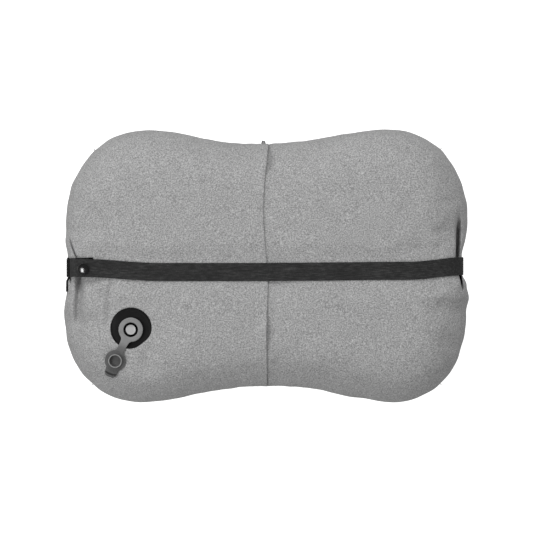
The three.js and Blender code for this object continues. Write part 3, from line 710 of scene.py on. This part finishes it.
FILM = 0.8 * MM
FILM_DEPTH = 4.2 * MM
FILM_SEAM_DEPTH = 14 * MM
FILM_HOLE_RADIUS = 10 * MM
WELD_DEPTH = 4 * MM
BAFFLES = ("baffle_left", "baffle_centre", "baffle_right")
BAFFLE_HALF_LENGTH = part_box("baffle_left")[1].y


def film_hole_radius(turn):
    return np.full_like(turn, FILM_HOLE_RADIUS)


def bladder_film(name, height, outward):
    """One film of the air bladder: drawn in at the welded baffles, with a flat welded edge."""
    hole = film_hole_radius if outward > 0 else None
    grid = Grid(height, 14, spaced(4 * MM), hole=hole)
    grid.points = grid.points + SWELL(grid)
    normals = grid.normals(outward)
    at_seam = 1 - smooth(grid.distance, 0, 0.4 * EDGE_WIDTH)
    depth = FILM_DEPTH + (FILM_SEAM_DEPTH - FILM_DEPTH) * at_seam
    on_baffle = 1 - smooth(np.abs(grid.y), BAFFLE_HALF_LENGTH, 1.2 * BAFFLE_HALF_LENGTH)
    for baffle in BAFFLES:
        depth += 0.9 * MM * bell(grid.x, middle(baffle).x, 9 * MM) * on_baffle
    points = grid.points - normals * depth[..., None]
    if outward > 0:
        points[..., 2] += lowest_fold(grid.x, grid.y)
    points[grid.rim] = grid.points[grid.rim] - normals[grid.rim] * WELD_DEPTH
    points[grid.rim, 2] = SEAM_Z + outward * 0.5 * MM
    return thick_sheet(name, points, grid.faces(flip=outward < 0), normals, FILM)


# --- Turned parts ---


def round_corners(profile, radius, steps=4):
    """The same [radius, z] outline with each inner corner turned into a short arc."""
    points = [np.array(p, float) for p in profile]
    made = [points[0]]
    for before, here, after in zip(points, points[1:], points[2:]):
        reach_in, reach_out = np.linalg.norm(before - here), np.linalg.norm(after - here)
        cut = min(radius, 0.45 * reach_in, 0.45 * reach_out)
        start = here + (before - here) / reach_in * cut
        end = here + (after - here) / reach_out * cut
        for t in np.linspace(0, 1, steps):
            made.append((1 - t) ** 2 * start + 2 * t * (1 - t) * here + t * t * end)
    made.append(points[-1])
    return np.array(made)


def turned(name, profile, place, segments=96):
    """A solid of revolution from a profile in local [radius, z], put in place by a matrix."""
    closed = profile[0][0] > 1e-9
    if closed and np.linalg.norm(np.subtract(profile[0], profile[-1])) > 1e-9:
        profile = np.vstack([profile, profile[:1]])
    angles = np.linspace(0, 2 * np.pi, segments, endpoint=False)
    points, rings = [], []
    for radius, z in profile[:-1] if closed else profile:
        if radius < 1e-9:
            rings.append([len(points)] * segments)
            points.append((0, 0, z))
            continue
        rings.append(list(range(len(points), len(points) + segments)))
        points += [(radius * math.cos(a), radius * math.sin(a), z) for a in angles]
    if closed:
        rings.append(rings[0])
    faces = []
    for low, high in zip(rings, rings[1:]):
        for i in range(segments):
            j = (i + 1) % segments
            face = list(dict.fromkeys([low[i], low[j], high[j], high[i]]))
            if len(face) > 2:
                faces.append(face)
    made = add_mesh(name, points, faces)
    made.data.transform(place)
    make_outward(made)
    made.data.shade_smooth()
    return made


def make_outward(made):
    """Turns the faces round where the mesh is inside out."""
    mesh = made.data
    volume = 0
    for polygon in mesh.polygons:
        corners = [mesh.vertices[i].co for i in polygon.vertices]
        for b, c in zip(corners[1:], corners[2:]):
            volume += corners[0].dot(b.cross(c))
    if volume < 0:
        mesh.flip_normals()


def closed_index(shape):
    """Point numbers of a grid whose last column joins on to its first."""
    index = np.arange(shape[0] * shape[1]).reshape(shape)
    return np.append(index, index[:, :1], axis=1)


def loft(name, rings):
    """A solid through rings of points, an array [ring, point, axis], with its two ends closed."""
    index = closed_index(rings.shape[:2])
    ends = [index[0, :0:-1].tolist(), index[-1, 1:].tolist()]
    faces = grid_quads(index).reshape(-1, 4).tolist() + ends
    made = add_mesh(name, rings.reshape(-1, 3), faces)
    make_outward(made)
    made.data.shade_smooth()
    return made


# --- Valve ---

VALVE_PLACE = Matrix.Translation(VALVE.to_3d())
COLLAR_LOW, COLLAR_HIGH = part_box("valve_collar")
COLLAR_RADIUS = COLLAR_HIGH.x - VALVE.x
COLLAR_SEAT_RADIUS = 9.4 * MM
COLLAR_LIP = 0.6 * MM
MOUTH_RADIUS = 7.85 * MM
DISC_MOUTH_RADIUS = 9.3 * MM
DISC_RADIUS = 27.5 * MM
DISC_WELD_RADIUS = 21.5 * MM
DISC_DEPTH = 1.9 * MM
BUTTON_RIM = 1.2 * MM
STEM_RADIUS = 1.8 * MM
SPRING_WIRE = 0.35 * MM
SPRING_TURNS = 4.5
BUTTON_LOW, BUTTON_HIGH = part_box("valve_button")
BUTTON_RADIUS = (BUTTON_HIGH.x - BUTTON_LOW.x) / 2 - 0.3 * MM
FOLD = Vector(joint("cap_flip")["pos_m"])
TETHER_OUT = (FOLD.xy - VALVE).normalized()
TETHER_WIDTH = 8.6 * MM
TETHER_THICKNESS = 1.6 * MM
OPEN_TILT = math.radians(joint("cap_flip")["range_deg"][1] - 180)
FOLD_REACH = (FOLD.xy - VALVE).length


def valve_disc():
    """The black disc on the bladder, which follows the pillow's shape under the cover's opening."""
    radii = np.linspace(DISC_MOUTH_RADIUS, DISC_RADIUS, 22)
    turns = np.linspace(0, 2 * np.pi, 120, endpoint=False)
    radius, turn = np.meshgrid(radii, turns, indexing="ij")
    x = VALVE.x + radius * np.cos(turn)
    y = VALVE.y + radius * np.sin(turn)
    z = back_height(x, y, edge_distance(x, y)) + folded(x, y) - DISC_DEPTH
    z += 0.25 * MM * bell(radius, DISC_WELD_RADIUS, 0.8 * MM)
    points = np.stack([x, y, z], 2).reshape(-1, 3)
    faces = grid_quads(closed_index(radius.shape), flip=True).reshape(-1, 4)
    normals = np.tile([0.0, 0.0, 1.0], (len(points), 1))
    return thick_sheet("valve_disc", points, faces, normals, 0.9 * MM)


def collar_ring():
    low, high = COLLAR_LOW.z, COLLAR_HIGH.z
    lip = low + COLLAR_LIP
    profile = round_corners([
        (MOUTH_RADIUS, (lip + high) / 2),
        (MOUTH_RADIUS, lip),
        (COLLAR_SEAT_RADIUS, lip),
        (COLLAR_SEAT_RADIUS, low),
        (COLLAR_RADIUS, low),
        (COLLAR_RADIUS, high),
        (MOUTH_RADIUS, high),
        (MOUTH_RADIUS, (lip + high) / 2),
    ], 1.5 * MM, 7)
    return turned("valve_collar_ring", profile[:-1], VALVE_PLACE)


def button_top():
    """The push button: a dished top with a rolled edge, on its stem and retaining foot."""
    top, bottom = BUTTON_HIGH.z, BUTTON_LOW.z
    foot_radius, foot_top = 1.65 * STEM_RADIUS, bottom + 1 * MM
    profile = round_corners([
        (0, top - 0.35 * MM),
        (0.7 * BUTTON_RADIUS, top - 0.25 * MM),
        (0.86 * BUTTON_RADIUS, top),
        (BUTTON_RADIUS, top),
        (BUTTON_RADIUS, top - BUTTON_RIM),
        (STEM_RADIUS, top - BUTTON_RIM),
        (STEM_RADIUS, foot_top),
        (foot_radius, foot_top),
        (foot_radius, bottom),
        (0, bottom),
    ], 0.45 * MM)
    return turned("valve_push_button", profile, VALVE_PLACE, 72)


def cap_place():
    """Where the open cap sits: origin on the fold line, X out along the tether, tilted down."""
    out = TETHER_OUT.to_3d()
    side = Vector((-out.y, out.x, 0))
    tilt = Matrix.Rotation(OPEN_TILT, 4, "Y")
    turn = Matrix((
        (out.x, side.x, 0, FOLD.x),
        (out.y, side.y, 0, FOLD.y),
        (0, 0, 1, FOLD.z),
        (0, 0, 0, 1),
    ))
    return turn @ tilt


CAP_PLACE = cap_place() @ Matrix.Translation((FOLD_REACH, 0, 0))
CAP_MIDDLE = CAP_PLACE.to_translation()
CAP_RADIUS = 11.5 * MM
CAP_THICKNESS = 2 * MM
CAP_BEVEL = 2.5 * MM
PLUG_BORE = 6.25 * MM
PLUG_RADIUS = 7.7 * MM
PLUG_TIP_RADIUS = 7.4 * MM
PLUG_FLOOR = 1 * MM
PLUG_LENGTH = 4.2 * MM
LIP_DEPTH = 0.8 * MM
CAP_UNDER = 0.15 * MM
PULL_TAB_REACH = 19 * MM
PULL_TAB_WIDTH = 14.4 * MM
PULL_TAB_TURN = math.radians(6)
TAB_GROOVE_REACH = 15.9 * MM
TAB_GROOVE_WIDTH = 1.8 * MM


def cap_cup():
    """The cap lying open: hollow plug pointing up, thin lip round the mouth with a painted highlight.
    """
    base, rim = -CAP_UNDER, -CAP_UNDER + PLUG_LENGTH
    back = base - CAP_THICKNESS
    profile = round_corners([
        (0, base - PLUG_FLOOR),
        (PLUG_BORE, base - PLUG_FLOOR),
        (PLUG_BORE, rim),
        (PLUG_TIP_RADIUS, rim),
        (PLUG_RADIUS, base),
        (CAP_RADIUS, base),
        (CAP_RADIUS, base - CAP_THICKNESS / 2),
        (CAP_RADIUS - CAP_BEVEL, back),
        (0, back),
    ], 0.5 * MM, 5)
    return turned("valve_cap_cup", profile, CAP_PLACE)


def on_lip(point):
    """On the lip of the open cap's plug, which is painted paler than the cap as a highlight."""
    return (CAP_PLACE.inverted() @ point).z > PLUG_LENGTH - CAP_UNDER - LIP_DEPTH


def strip(name, x, half, low, high, place, rounding):
    """A flat strip along local X with rounded edges; its half width and sides may vary along it."""
    ring = 16
    turn = np.linspace(0, 2 * np.pi, ring, endpoint=False) + np.pi / ring
    across = np.sign(np.cos(turn)) * np.abs(np.cos(turn)) ** rounding
    up = np.sign(np.sin(turn)) * np.abs(np.sin(turn)) ** rounding
    x, half, low, high = (np.broadcast_to(v, len(x))[:, None] for v in (x, half, low, high))
    z = (low + high) / 2 + up * (high - low) / 2
    made = loft(name, np.stack([np.broadcast_to(x, z.shape), -half * across, z], 2))
    made.data.transform(place)
    return made


def tether():
    """One strip from collar to cap, wider at both ends, that folds where the joint is."""
    start, end = COLLAR_RADIUS - 2 * MM - FOLD_REACH, FOLD_REACH - CAP_RADIUS + CAP_BEVEL
    x = np.linspace(start, end, 60)
    flare = 2.6 * MM * (np.exp(-(x - start) / (1.7 * MM)) + np.exp(-(end - x) / (1.9 * MM)))
    half = TETHER_WIDTH / 2 + flare
    drop = np.where(x > 0, x * math.tan(OPEN_TILT) * smooth(x, -2 * MM, 3 * MM), 0)
    high = -CAP_UNDER - drop
    place = cap_place() @ Matrix.Rotation(-OPEN_TILT, 4, "Y")
    made = strip("cap_tether", x, half, high - TETHER_THICKNESS, high, place, 0.35)
    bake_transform(made)
    return made


def pull_tab():
    """The finger tab on the far side of the cap, with a groove before its moulded end rib."""
    x = np.linspace(CAP_RADIUS - 3 * MM, PULL_TAB_REACH, 40)
    t = (x - x[0]) / (x[-1] - x[0])
    half = PULL_TAB_WIDTH / 2 - 1.2 * MM * t - 2.0 * MM * smooth(t, 0.8, 1.0)
    high = -CAP_UNDER + 0.3 * MM * bell(t, 0.93, 0.07) - 1.1 * MM * bell(t, 0.7, 0.11)
    low = -CAP_UNDER - TETHER_THICKNESS
    place = CAP_PLACE @ Matrix.Rotation(PULL_TAB_TURN, 4, "Z")
    return strip("cap_pull_tab", x, half, low, high, place, 0.4)


def in_groove(point):
    """In the groove before the pull tab's end rib, whose faces are painted darker as shade."""
    return abs((point - CAP_MIDDLE).length - TAB_GROOVE_REACH) < TAB_GROOVE_WIDTH / 2


def return_spring():
    """The coil that lifts the button; it closes up as the button goes down."""
    low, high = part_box("valve_spring")
    radius = (high.x - low.x) / 2 - SPRING_WIRE
    angle = np.linspace(0, 2 * np.pi * SPRING_TURNS, 145)[:, None]
    around = np.linspace(0, 2 * np.pi, 8, endpoint=False)
    reach = radius + SPRING_WIRE * np.cos(around)
    rise = (high.z - low.z - 2 * SPRING_WIRE) * angle / angle[-1]
    z = low.z + SPRING_WIRE + rise + SPRING_WIRE * np.sin(around)
    x, y = VALVE.x + reach * np.cos(angle), VALVE.y + reach * np.sin(angle)
    made = loft("return_spring", np.stack([x, y, z], 2))
    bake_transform(made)
    return made


# --- Strap ---

STRAP_THICKNESS = 1.2 * MM
STRAP_RISE = 0.5 * MM
SIDE_RISE = 1.7 * MM
SNAP_RISE = 5.4 * MM
TIP_RISE = 3 * MM
SNAP_ANGLE = math.radians(57)
TIP_ANGLE = math.radians(35)
TAB_TOP_ANGLE = math.radians(76)
TAB_RISE = (0.4 * MM, 1.4 * MM)
TAB_THICKNESS = 1 * MM


def groove_share(angles):
    """1 down the side, falling to 0 where the edge section meets the top."""
    return 1 - smooth(angles, GROOVE_TOP_ANGLE, np.pi / 2)


def over_side(side, angles, rise):
    """(x, z) of a line that runs rise above the cover over one side, under the strap."""
    across = np.cos(angles).clip(0) ** (2 / SQUARED_ROUNDNESS)
    up = np.sin(angles) ** (2 / SQUARED_ROUNDNESS)
    reach = side_reach(side, np.float64(STRAP_Y)) - EDGE_WIDTH * (1 - across)
    height = TOP_Z - SEAM_Z - GROOVE * groove_share(angles) + rise
    return np.stack([side * (reach + rise * across), SEAM_Z + height * up], 1)


def end_rise(angles):
    """How far the strap's end stands off the cover: over the snap, then down to its tip."""
    climbing = STRAP_RISE + (SNAP_RISE - STRAP_RISE) * groove_share(angles)
    falling = TIP_RISE + (SNAP_RISE - TIP_RISE) * smooth(angles, TIP_ANGLE, SNAP_ANGLE) ** 2
    return np.where(angles >= SNAP_ANGLE, climbing, falling)


def strap_line():
    """The strap's middle line from the right seam over the back to its free end, as (x, z)."""
    right_angles = np.linspace(0.02, np.pi / 2, 80)[:-1]
    right_rise = SIDE_RISE + (STRAP_RISE - SIDE_RISE) * smooth(right_angles, 0, np.pi / 2)
    right = over_side(RIGHT, right_angles, right_rise)
    left_angles = np.linspace(np.pi / 2, TIP_ANGLE, 80)[1:]
    left = over_side(LEFT, left_angles, end_rise(left_angles))
    x = np.linspace(right[-1, 0], left[0, 0], 220)
    y = strap_middle(x)
    top = back_height(x, y, edge_distance(x, y)) + STRAP_RISE + 0.3 * MM
    line = np.concatenate([right, np.stack([x, top], 1), left])
    line[:, 1] += STRAP_THICKNESS / 2
    for _ in range(12):
        line[1:-1] = (line[:-2] + 2 * line[1:-1] + line[2:]) / 4
    return even_line(line, 1.0 * MM)


def even_line(line, spacing):
    """The same line with its points the same distance apart."""
    length = np.concatenate([[0], np.cumsum(np.hypot(*np.diff(line, axis=0).T))])
    stops = np.linspace(0, length[-1], int(length[-1] / spacing) + 1)
    return np.stack([np.interp(stops, length, line[:, 0]), np.interp(stops, length, line[:, 1])], 1)


def ribbed_section(ribs, width, thickness):
    """(across, up) round a band's section: rounded ribs above and below, thin plain edges."""
    steps, rib_height = 6, 0.2
    across = np.linspace(-0.5, 0.5, ribs * steps + 1)
    rib = np.abs(np.sin(np.pi * ribs * (across + 0.5))) ** 0.7
    edge = 1 - smooth(np.abs(across), 0.455, 0.5)
    up = thickness * (0.5 - rib_height * (1 - rib)) * (0.35 + 0.65 * edge)
    top = np.stack([across * width, up], 1)
    bottom = np.stack([across[::-1] * width, -up[::-1]], 1)[1:-1]
    return np.concatenate([top, bottom])


def sweep(name, line, middle_of, section):
    """A section swept along a line in X and Z, with its middle line's Y given by a function."""
    tangent = unit(np.gradient(line, axis=0))
    across, up = section.T
    x = line[:, :1] + tangent[:, 1:] * up
    z = line[:, 1:] - tangent[:, :1] * up
    return loft(name, np.stack([x, middle_of(line[:, :1]) + across, z], 2))


def elastic_strap():
    """The whole elastic: its end bends off the cover over a short length at the peel line."""
    section = ribbed_section(13, STRAP_WIDTH * 0.98, STRAP_THICKNESS)
    made = sweep("elastic_strap", strap_line(), strap_middle, section)
    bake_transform(made)
    return made


def snap_tab():
    """The woven tab under the strap's end, set a little askew so that one corner shows."""
    angles = np.linspace(TAB_TOP_ANGLE, 0.02, 90)
    low, high = TAB_RISE
    rise = low + (high - low) * groove_share(angles) + TAB_THICKNESS / 2
    line = even_line(over_side(LEFT, angles, rise), 1.0 * MM)
    section = ribbed_section(9, STRAP_WIDTH, TAB_THICKNESS)

    def askew(x):
        return STRAP_Y + 2.4 * MM + 0.05 * (x + 0.2)

    return sweep("snap_tab", line, askew, section)


ROOT_LOW_Y = -27 * MM
ROOT_HIGH_Y = 9 * MM
ROOT_TOP_ANGLE = math.radians(20)
ROOT_RISE = 0.9 * MM


def tab_root():
    """The wider patch of tape that comes out of the side seam under the tab."""
    y = np.linspace(ROOT_LOW_Y, ROOT_HIGH_Y, 60)
    y, angle = np.meshgrid(y, np.linspace(0.02, ROOT_TOP_ANGLE, 34))
    pulled = side_pull(np.full_like(y, -HALF_LENGTH), y)
    roundness = ROUNDNESS + (SQUARED_ROUNDNESS - ROUNDNESS) * pulled
    across = np.cos(angle) ** (2 / roundness)
    up = np.sin(angle) ** (2 / roundness)
    x = -(side_reach(LEFT, y) - EDGE_WIDTH * (1 - across) + ROOT_RISE * across)
    z = SEAM_Z + (TOP_Z - SEAM_Z - GROOVE * pulled + ROOT_RISE) * up
    z += 0.15 * MM * np.sin(y / (0.55 * MM))
    points = np.stack([x, y, z], 2)
    normals = unit(np.cross(np.gradient(points, axis=0), np.gradient(points, axis=1)))
    faces = grid_quads(np.arange(y.size).reshape(y.shape), flip=True).reshape(-1, 4)
    made = thick_sheet("tab_root", points, faces, normals, TAB_THICKNESS)
    make_outward(made)
    return made


# --- Snap fastener ---

SNAP_FOOT = mean_point("snap_post")
SNAP_AXIS = (mean_point("snap_cap") - SNAP_FOOT).normalized()
DOME_RISE = 1.6 * MM
SHANK_RADIUS = 0.9 * MM


def along_snap(node):
    """Lowest and highest height of a CAD node along the snap's axis, and its radius."""
    offsets = [v.co - SNAP_FOOT for v in frame["nodes"][node].data.vertices]
    heights = [o.dot(SNAP_AXIS) for o in offsets]
    radius = max((o - SNAP_AXIS * h).length for o, h in zip(offsets, heights))
    return min(heights), max(heights), radius


def snap_dome():
    """The snap's glossy cap: a rolled rim and a smooth dome, with its shank underneath."""
    low, high, radius = along_snap("snap_cap")
    flange = high - 2.3 * MM
    top = high + 0.3 * MM
    curve = (radius**2 + DOME_RISE**2) / (2 * DOME_RISE)
    dome = [(curve * math.sin(t), top - curve * (1 - math.cos(t)))
            for t in np.linspace(0, math.asin(radius / curve), 28)]
    profile = dome + [
        (radius, flange + 0.25 * MM),
        (0.97 * radius, flange),
        (SHANK_RADIUS, flange),
        (SHANK_RADIUS, low),
        (0, low),
    ]
    place = Matrix.Translation(SNAP_FOOT) @ SNAP_AXIS.to_track_quat("Z", "Y").to_matrix().to_4x4()
    return turned("snap_dome", np.array(profile), place)


# --- Materials ---


class Nodes:
    """A small helper to wire a material's shader nodes."""

    def __init__(self, name):
        self.material = bpy.data.materials.new(name)
        self.material.use_nodes = True
        self.tree = self.material.node_tree
        self.shader = self.tree.nodes["Principled BSDF"]
        self.place = self.add("ShaderNodeTexCoord").outputs["Object"]

    def add(self, kind, **values):
        node = self.tree.nodes.new(kind)
        for key, value in values.items():
            setattr(node, key, value)
        return node

    def link(self, source, target):
        self.tree.links.new(source, target)

    def noise(self, scale, detail=3, rough=0.6, stretch=None):
        source = self.place
        if stretch is not None:
            mapping = self.add("ShaderNodeMapping")
            mapping.inputs["Scale"].default_value = stretch
            self.link(source, mapping.inputs["Vector"])
            source = mapping.outputs["Vector"]
        noise = self.add("ShaderNodeTexNoise")
        noise.inputs["Scale"].default_value = scale
        noise.inputs["Detail"].default_value = detail
        noise.inputs["Roughness"].default_value = rough
        self.link(source, noise.inputs["Vector"])
        return noise.outputs["Fac"]

    def math(self, operation, a, b=0.0):
        node = self.add("ShaderNodeMath", operation=operation)
        for socket, value in zip(node.inputs, (a, b)):
            if isinstance(value, (int, float)):
                socket.default_value = value
            else:
                self.link(value, socket)
        return node.outputs[0]

    def mix(self, *parts):
        """A weighted sum, from pairs of a value and its weight."""
        shares = [self.math("MULTIPLY", value, weight) for value, weight in parts]
        return reduce(lambda total, share: self.math("ADD", total, share), shares)

    def ramp(self, source, stops):
        ramp = self.add("ShaderNodeValToRGB").color_ramp
        node = self.tree.nodes[-1]
        for element, (at, grey) in zip(ramp.elements, (stops[0], stops[-1])):
            element.position = at
            element.color = (grey, grey, grey, 1)
        for at, grey in stops[1:-1]:
            ramp.elements.new(at).color = (grey, grey, grey, 1)
        self.link(source, node.inputs["Fac"])
        return node.outputs["Color"]

    def bump(self, height, distance, strength=1.0):
        node = self.add("ShaderNodeBump")
        node.inputs["Distance"].default_value = distance
        node.inputs["Strength"].default_value = strength
        self.link(height, node.inputs["Height"])
        self.link(node.outputs["Normal"], self.shader.inputs["Normal"])

    def set(self, **values):
        for name, value in values.items():
            socket = self.shader.inputs[name.replace("_", " ")]
            if isinstance(value, (int, float, tuple)):
                socket.default_value = value
            else:
                self.link(value, socket)
        return self.material


def melange_fabric():
    """Grey heather knit: light and dark fibres blotched together over a fine knitted relief."""
    n = Nodes("melange_fabric")
    blotch = n.noise(760, detail=1, rough=0.5)
    fibre = n.noise(2000, detail=2, rough=0.6)
    broad = n.noise(60, detail=2, rough=0.5)
    mix = n.mix((blotch, 0.66), (fibre, 0.28), (broad, 0.06))
    colour = n.ramp(mix, [(0.3, 0.155), (0.44, 0.262), (0.56, 0.36), (0.7, 0.53)])
    n.bump(n.mix((fibre, 1.0), (blotch, 0.6)), 0.25 * MM, 0.6)
    return n.set(Base_Color=colour, Roughness=0.95, Sheen_Weight=0.08, Sheen_Roughness=0.5)


def elastic_weave():
    """Black ribbed elastic: threads along the strap, crossed by a fine weft."""
    n = Nodes("elastic_weave")
    threads = n.noise(900, detail=2, stretch=(0.12, 1, 1))
    weft = n.noise(1500, detail=2, stretch=(1, 0.35, 1))
    worn = n.noise(45, detail=3)
    mix = n.mix((threads, 0.5), (weft, 0.3), (worn, 0.2))
    colour = n.ramp(mix, [(0.3, 0.010), (0.5, 0.026), (0.7, 0.064)])
    n.bump(n.math("ADD", threads, weft), 0.3 * MM, 0.8)
    return n.set(Base_Color=colour, Roughness=0.85, Specular_IOR_Level=0.25, Sheen_Weight=0.03)


def woven_tape():
    n = Nodes("woven_tape")
    threads = n.noise(1100, detail=2, stretch=(1, 0.3, 1))
    colour = n.ramp(threads, [(0.3, 0.002), (0.7, 0.010)])
    n.bump(threads, 0.2 * MM, 0.6)
    return n.set(Base_Color=colour, Roughness=0.9, Specular_IOR_Level=0.15)


def moulded(name, dark, light, roughness, grain=900, relief=0.05, shine=0.5, index=1.5):
    """Moulded plastic or rubber with fine grain, soft mottling and uneven gloss."""
    n = Nodes(name)
    mottle = n.noise(120, detail=4)
    texture = n.noise(grain, detail=3)
    colour = n.ramp(n.mix((mottle, 0.6), (texture, 0.4)), [(0.3, dark), (0.7, light)])
    gloss = n.ramp(mottle, [(0.3, roughness * 0.85), (0.7, min(1, roughness * 1.15))])
    n.bump(texture, relief * MM, 0.5)
    return n.set(Base_Color=colour, Roughness=gloss, Specular_IOR_Level=shine, IOR=index)


def tether_painted_shade():
    """The collar's grey, darkened towards the cap as painted shade where the tether bends down."""
    n = Nodes("tether_painted_shade")
    apart = n.add("ShaderNodeVectorMath", operation="DISTANCE")
    n.link(n.place, apart.inputs[0])
    apart.inputs[1].default_value = CAP_MIDDLE
    mix = n.mix((apart.outputs["Value"], 1 / (40 * MM)), (n.noise(300, detail=3), 0.08))
    # Painted shade: the ramp turns darker the nearer a point is to the cap.
    colour = n.ramp(mix, [(0.3, 0.10), (0.44, 0.13), (0.58, 0.21), (0.8, 0.23)])
    n.bump(n.noise(900), 0.05 * MM, 0.5)
    return n.set(Base_Color=colour, Roughness=0.5)


def drawn_wire():
    n = Nodes("drawn_wire")
    drawn = n.noise(700, detail=3, stretch=(1, 1, 0.2))
    colour = n.ramp(drawn, [(0.3, 0.42), (0.7, 0.62)])
    n.bump(drawn, 0.03 * MM, 0.4)
    return n.set(Base_Color=colour, Roughness=0.32, Metallic=1.0)


def dress(made, material, body=None, shown_for=()):
    """Gives a piece its material and slot, the body it rides on unless it bends, and the CAD nodes
    that it is shown for."""
    made.data.materials.clear()
    made.data.materials.append(material)
    if shown_for:
        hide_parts(*shown_for)
    if body is not None:
        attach(made, body)


def mark_faces(made, material, chosen):
    """Gives a dressed piece's chosen faces a second material."""
    made.data.materials.append(material)
    for polygon in made.data.polygons:
        polygon.material_index = int(chosen(polygon.center))


def dress_nodes(names, material):
    """Gives CAD nodes that stay in the picture their material."""
    for name in names:
        mesh = frame["nodes"][name].data
        mesh.materials.clear()
        mesh.materials.append(material)


# --- The object ---


def dress_pillow():
    fabric = melange_fabric()
    panels = [
        (cover_back_left(), "cover_back_panel_left"),
        (cover_back_right(), "cover_back_panel_right"),
        (cover_front(), "cover_front_panel"),
    ]
    for panel, node in panels:
        dress(panel, fabric, "pillow", [node])
    film = moulded("bladder_film", 0.05, 0.09, 0.45)
    films = [
        (bladder_film("back_film", back_height, 1), "bladder_back_film"),
        (bladder_film("front_film", front_height, -1), "bladder_front_film"),
    ]
    for sheet, node in films:
        dress(sheet, film, "pillow", [node])
    dress_nodes(BAFFLES, film)


def dress_valve():
    black = moulded("valve_black", 0.006, 0.012, 0.55, shine=0.25)
    dress(valve_disc(), black, "pillow", ["valve_flange"])
    dress_nodes(["valve_housing"], black)
    grey = moulded("valve_grey", 0.19, 0.25, 0.5)
    dress(collar_ring(), grey, "pillow", ["valve_collar"])
    # Painted shade: the cap and its pull tab get a darker copy of the collar's grey.
    cap_painted_shade = moulded("cap_painted_shade", 0.07, 0.12, 0.5, shine=0.3)
    button_grey = moulded("button_grey", 0.38, 0.47, 0.42)
    dress(button_top(), button_grey, "valve_plunger", ["valve_button"])
    cup = cap_cup()
    dress(cup, cap_painted_shade, "tethered_cap", ["valve_cap"])
    # Painted highlight: the lip's faces get a paler grey than the rest of the cap.
    mark_faces(cup, moulded("lip_painted_highlight", 0.21, 0.28, 0.4), on_lip)
    tab = pull_tab()
    dress(tab, cap_painted_shade, "tethered_cap")
    # Painted shade: the groove's faces get a darker grey.
    mark_faces(tab, moulded("groove_painted_shade", 0.03, 0.05, 0.6, shine=0.2), in_groove)
    # The tether's material carries painted shade towards the cap.
    dress(tether(), tether_painted_shade())
    dress_nodes(["valve_seal"], moulded("seal_rubber", 0.012, 0.02, 0.8))
    dress(return_spring(), drawn_wire(), shown_for=["valve_spring"])


def dress_strap():
    dress(elastic_strap(), elastic_weave(), shown_for=["strap_band", "strap_end"])
    tape = woven_tape()
    dress(snap_tab(), tape, "pillow", ["strap_tab"])
    dress(tab_root(), tape, "pillow")
    gloss = moulded("snap_black", 0.001, 0.003, 0.2, relief=0.01, shine=1.0, index=1.9)
    dress(snap_dome(), gloss, "strap_tail", ["snap_cap"])
    dress_nodes(["snap_socket", "snap_stud", "snap_post"], gloss)


dress_pillow()
dress_valve()
dress_strap()


# --- Stage ---

PICTURE_SPAN = 0.580
PICTURE_MIDDLE = Vector((-0.4, 0.0)) * MM
CAMERA_HEIGHT = 12.0
SKY = 0.60
GLOSSY_SKY = 0.06
KEY_LIGHT = {"place": (-1.4, -0.35, 1.7), "size": (0.8, 1.1), "power": 14}
FILL_LIGHT = {"place": (-0.1, 1.9, 1.8), "size": (1.4, 1.0), "power": 30}


def pale_floor():
    """A plain floor that looks white and lights the pillow from below only softly."""
    size = 3.0
    corners = [(-size, -size, 0), (size, -size, 0), (size, size, 0), (-size, size, 0)]
    floor = add_mesh("floor", corners, [(0, 1, 2, 3)])
    n = Nodes("pale_floor")
    seen = n.add("ShaderNodeLightPath").outputs["Is Camera Ray"]
    shade = n.ramp(n.noise(3, detail=2), [(0.3, 0.50), (0.7, 0.54)])
    floor.data.materials.append(n.set(
        Base_Color=shade,
        Roughness=0.9,
        Specular_IOR_Level=0.0,
        Emission_Color=(1, 1, 1, 1),
        Emission_Strength=seen,
    ))


def soft_light(name, place, size, power):
    """A soft box that faces the pillow, turned so that its second size lies along Y."""
    light = bpy.data.lights.new(name, "AREA")
    light.shape = "RECTANGLE"
    light.size, light.size_y = size
    light.energy = power
    made = bpy.data.objects.new(name, light)
    made.location = place
    away = (Vector(place) - Vector((0, 0, SEAM_Z))).normalized()
    up = (Vector((0, 1, 0)) - away * away.y).normalized()
    across = up.cross(away)
    made.rotation_euler = Matrix((across, up, away)).transposed().to_euler()
    bpy.context.scene.collection.objects.link(made)
    return made


def studio():
    world = bpy.data.worlds.new("studio")
    world.use_nodes = True
    tree = world.node_tree
    background = tree.nodes["Background"]
    background.inputs["Color"].default_value = (1, 1, 1, 1)
    path = tree.nodes.new("ShaderNodeLightPath")
    dim = tree.nodes.new("ShaderNodeMath")
    dim.operation = "MULTIPLY_ADD"
    dim.inputs[1].default_value = GLOSSY_SKY - SKY
    dim.inputs[2].default_value = SKY
    tree.links.new(path.outputs["Is Glossy Ray"], dim.inputs[0])
    tree.links.new(dim.outputs[0], background.inputs["Strength"])
    bpy.context.scene.world = world
    soft_light("key", **KEY_LIGHT)
    fill = soft_light("fill", **FILL_LIGHT)
    fill.visible_glossy = False
    bpy.context.scene.view_settings.view_transform = "Standard"


def camera():
    data = bpy.data.cameras.new("camera")
    data.sensor_width = 36
    data.lens = data.sensor_width * (CAMERA_HEIGHT - SEAM_Z) / PICTURE_SPAN
    data.clip_end = 100
    made = bpy.data.objects.new("camera", data)
    made.location = (*PICTURE_MIDDLE, CAMERA_HEIGHT)
    bpy.context.scene.collection.objects.link(made)
    bpy.context.scene.camera = made


pale_floor()
studio()
camera()
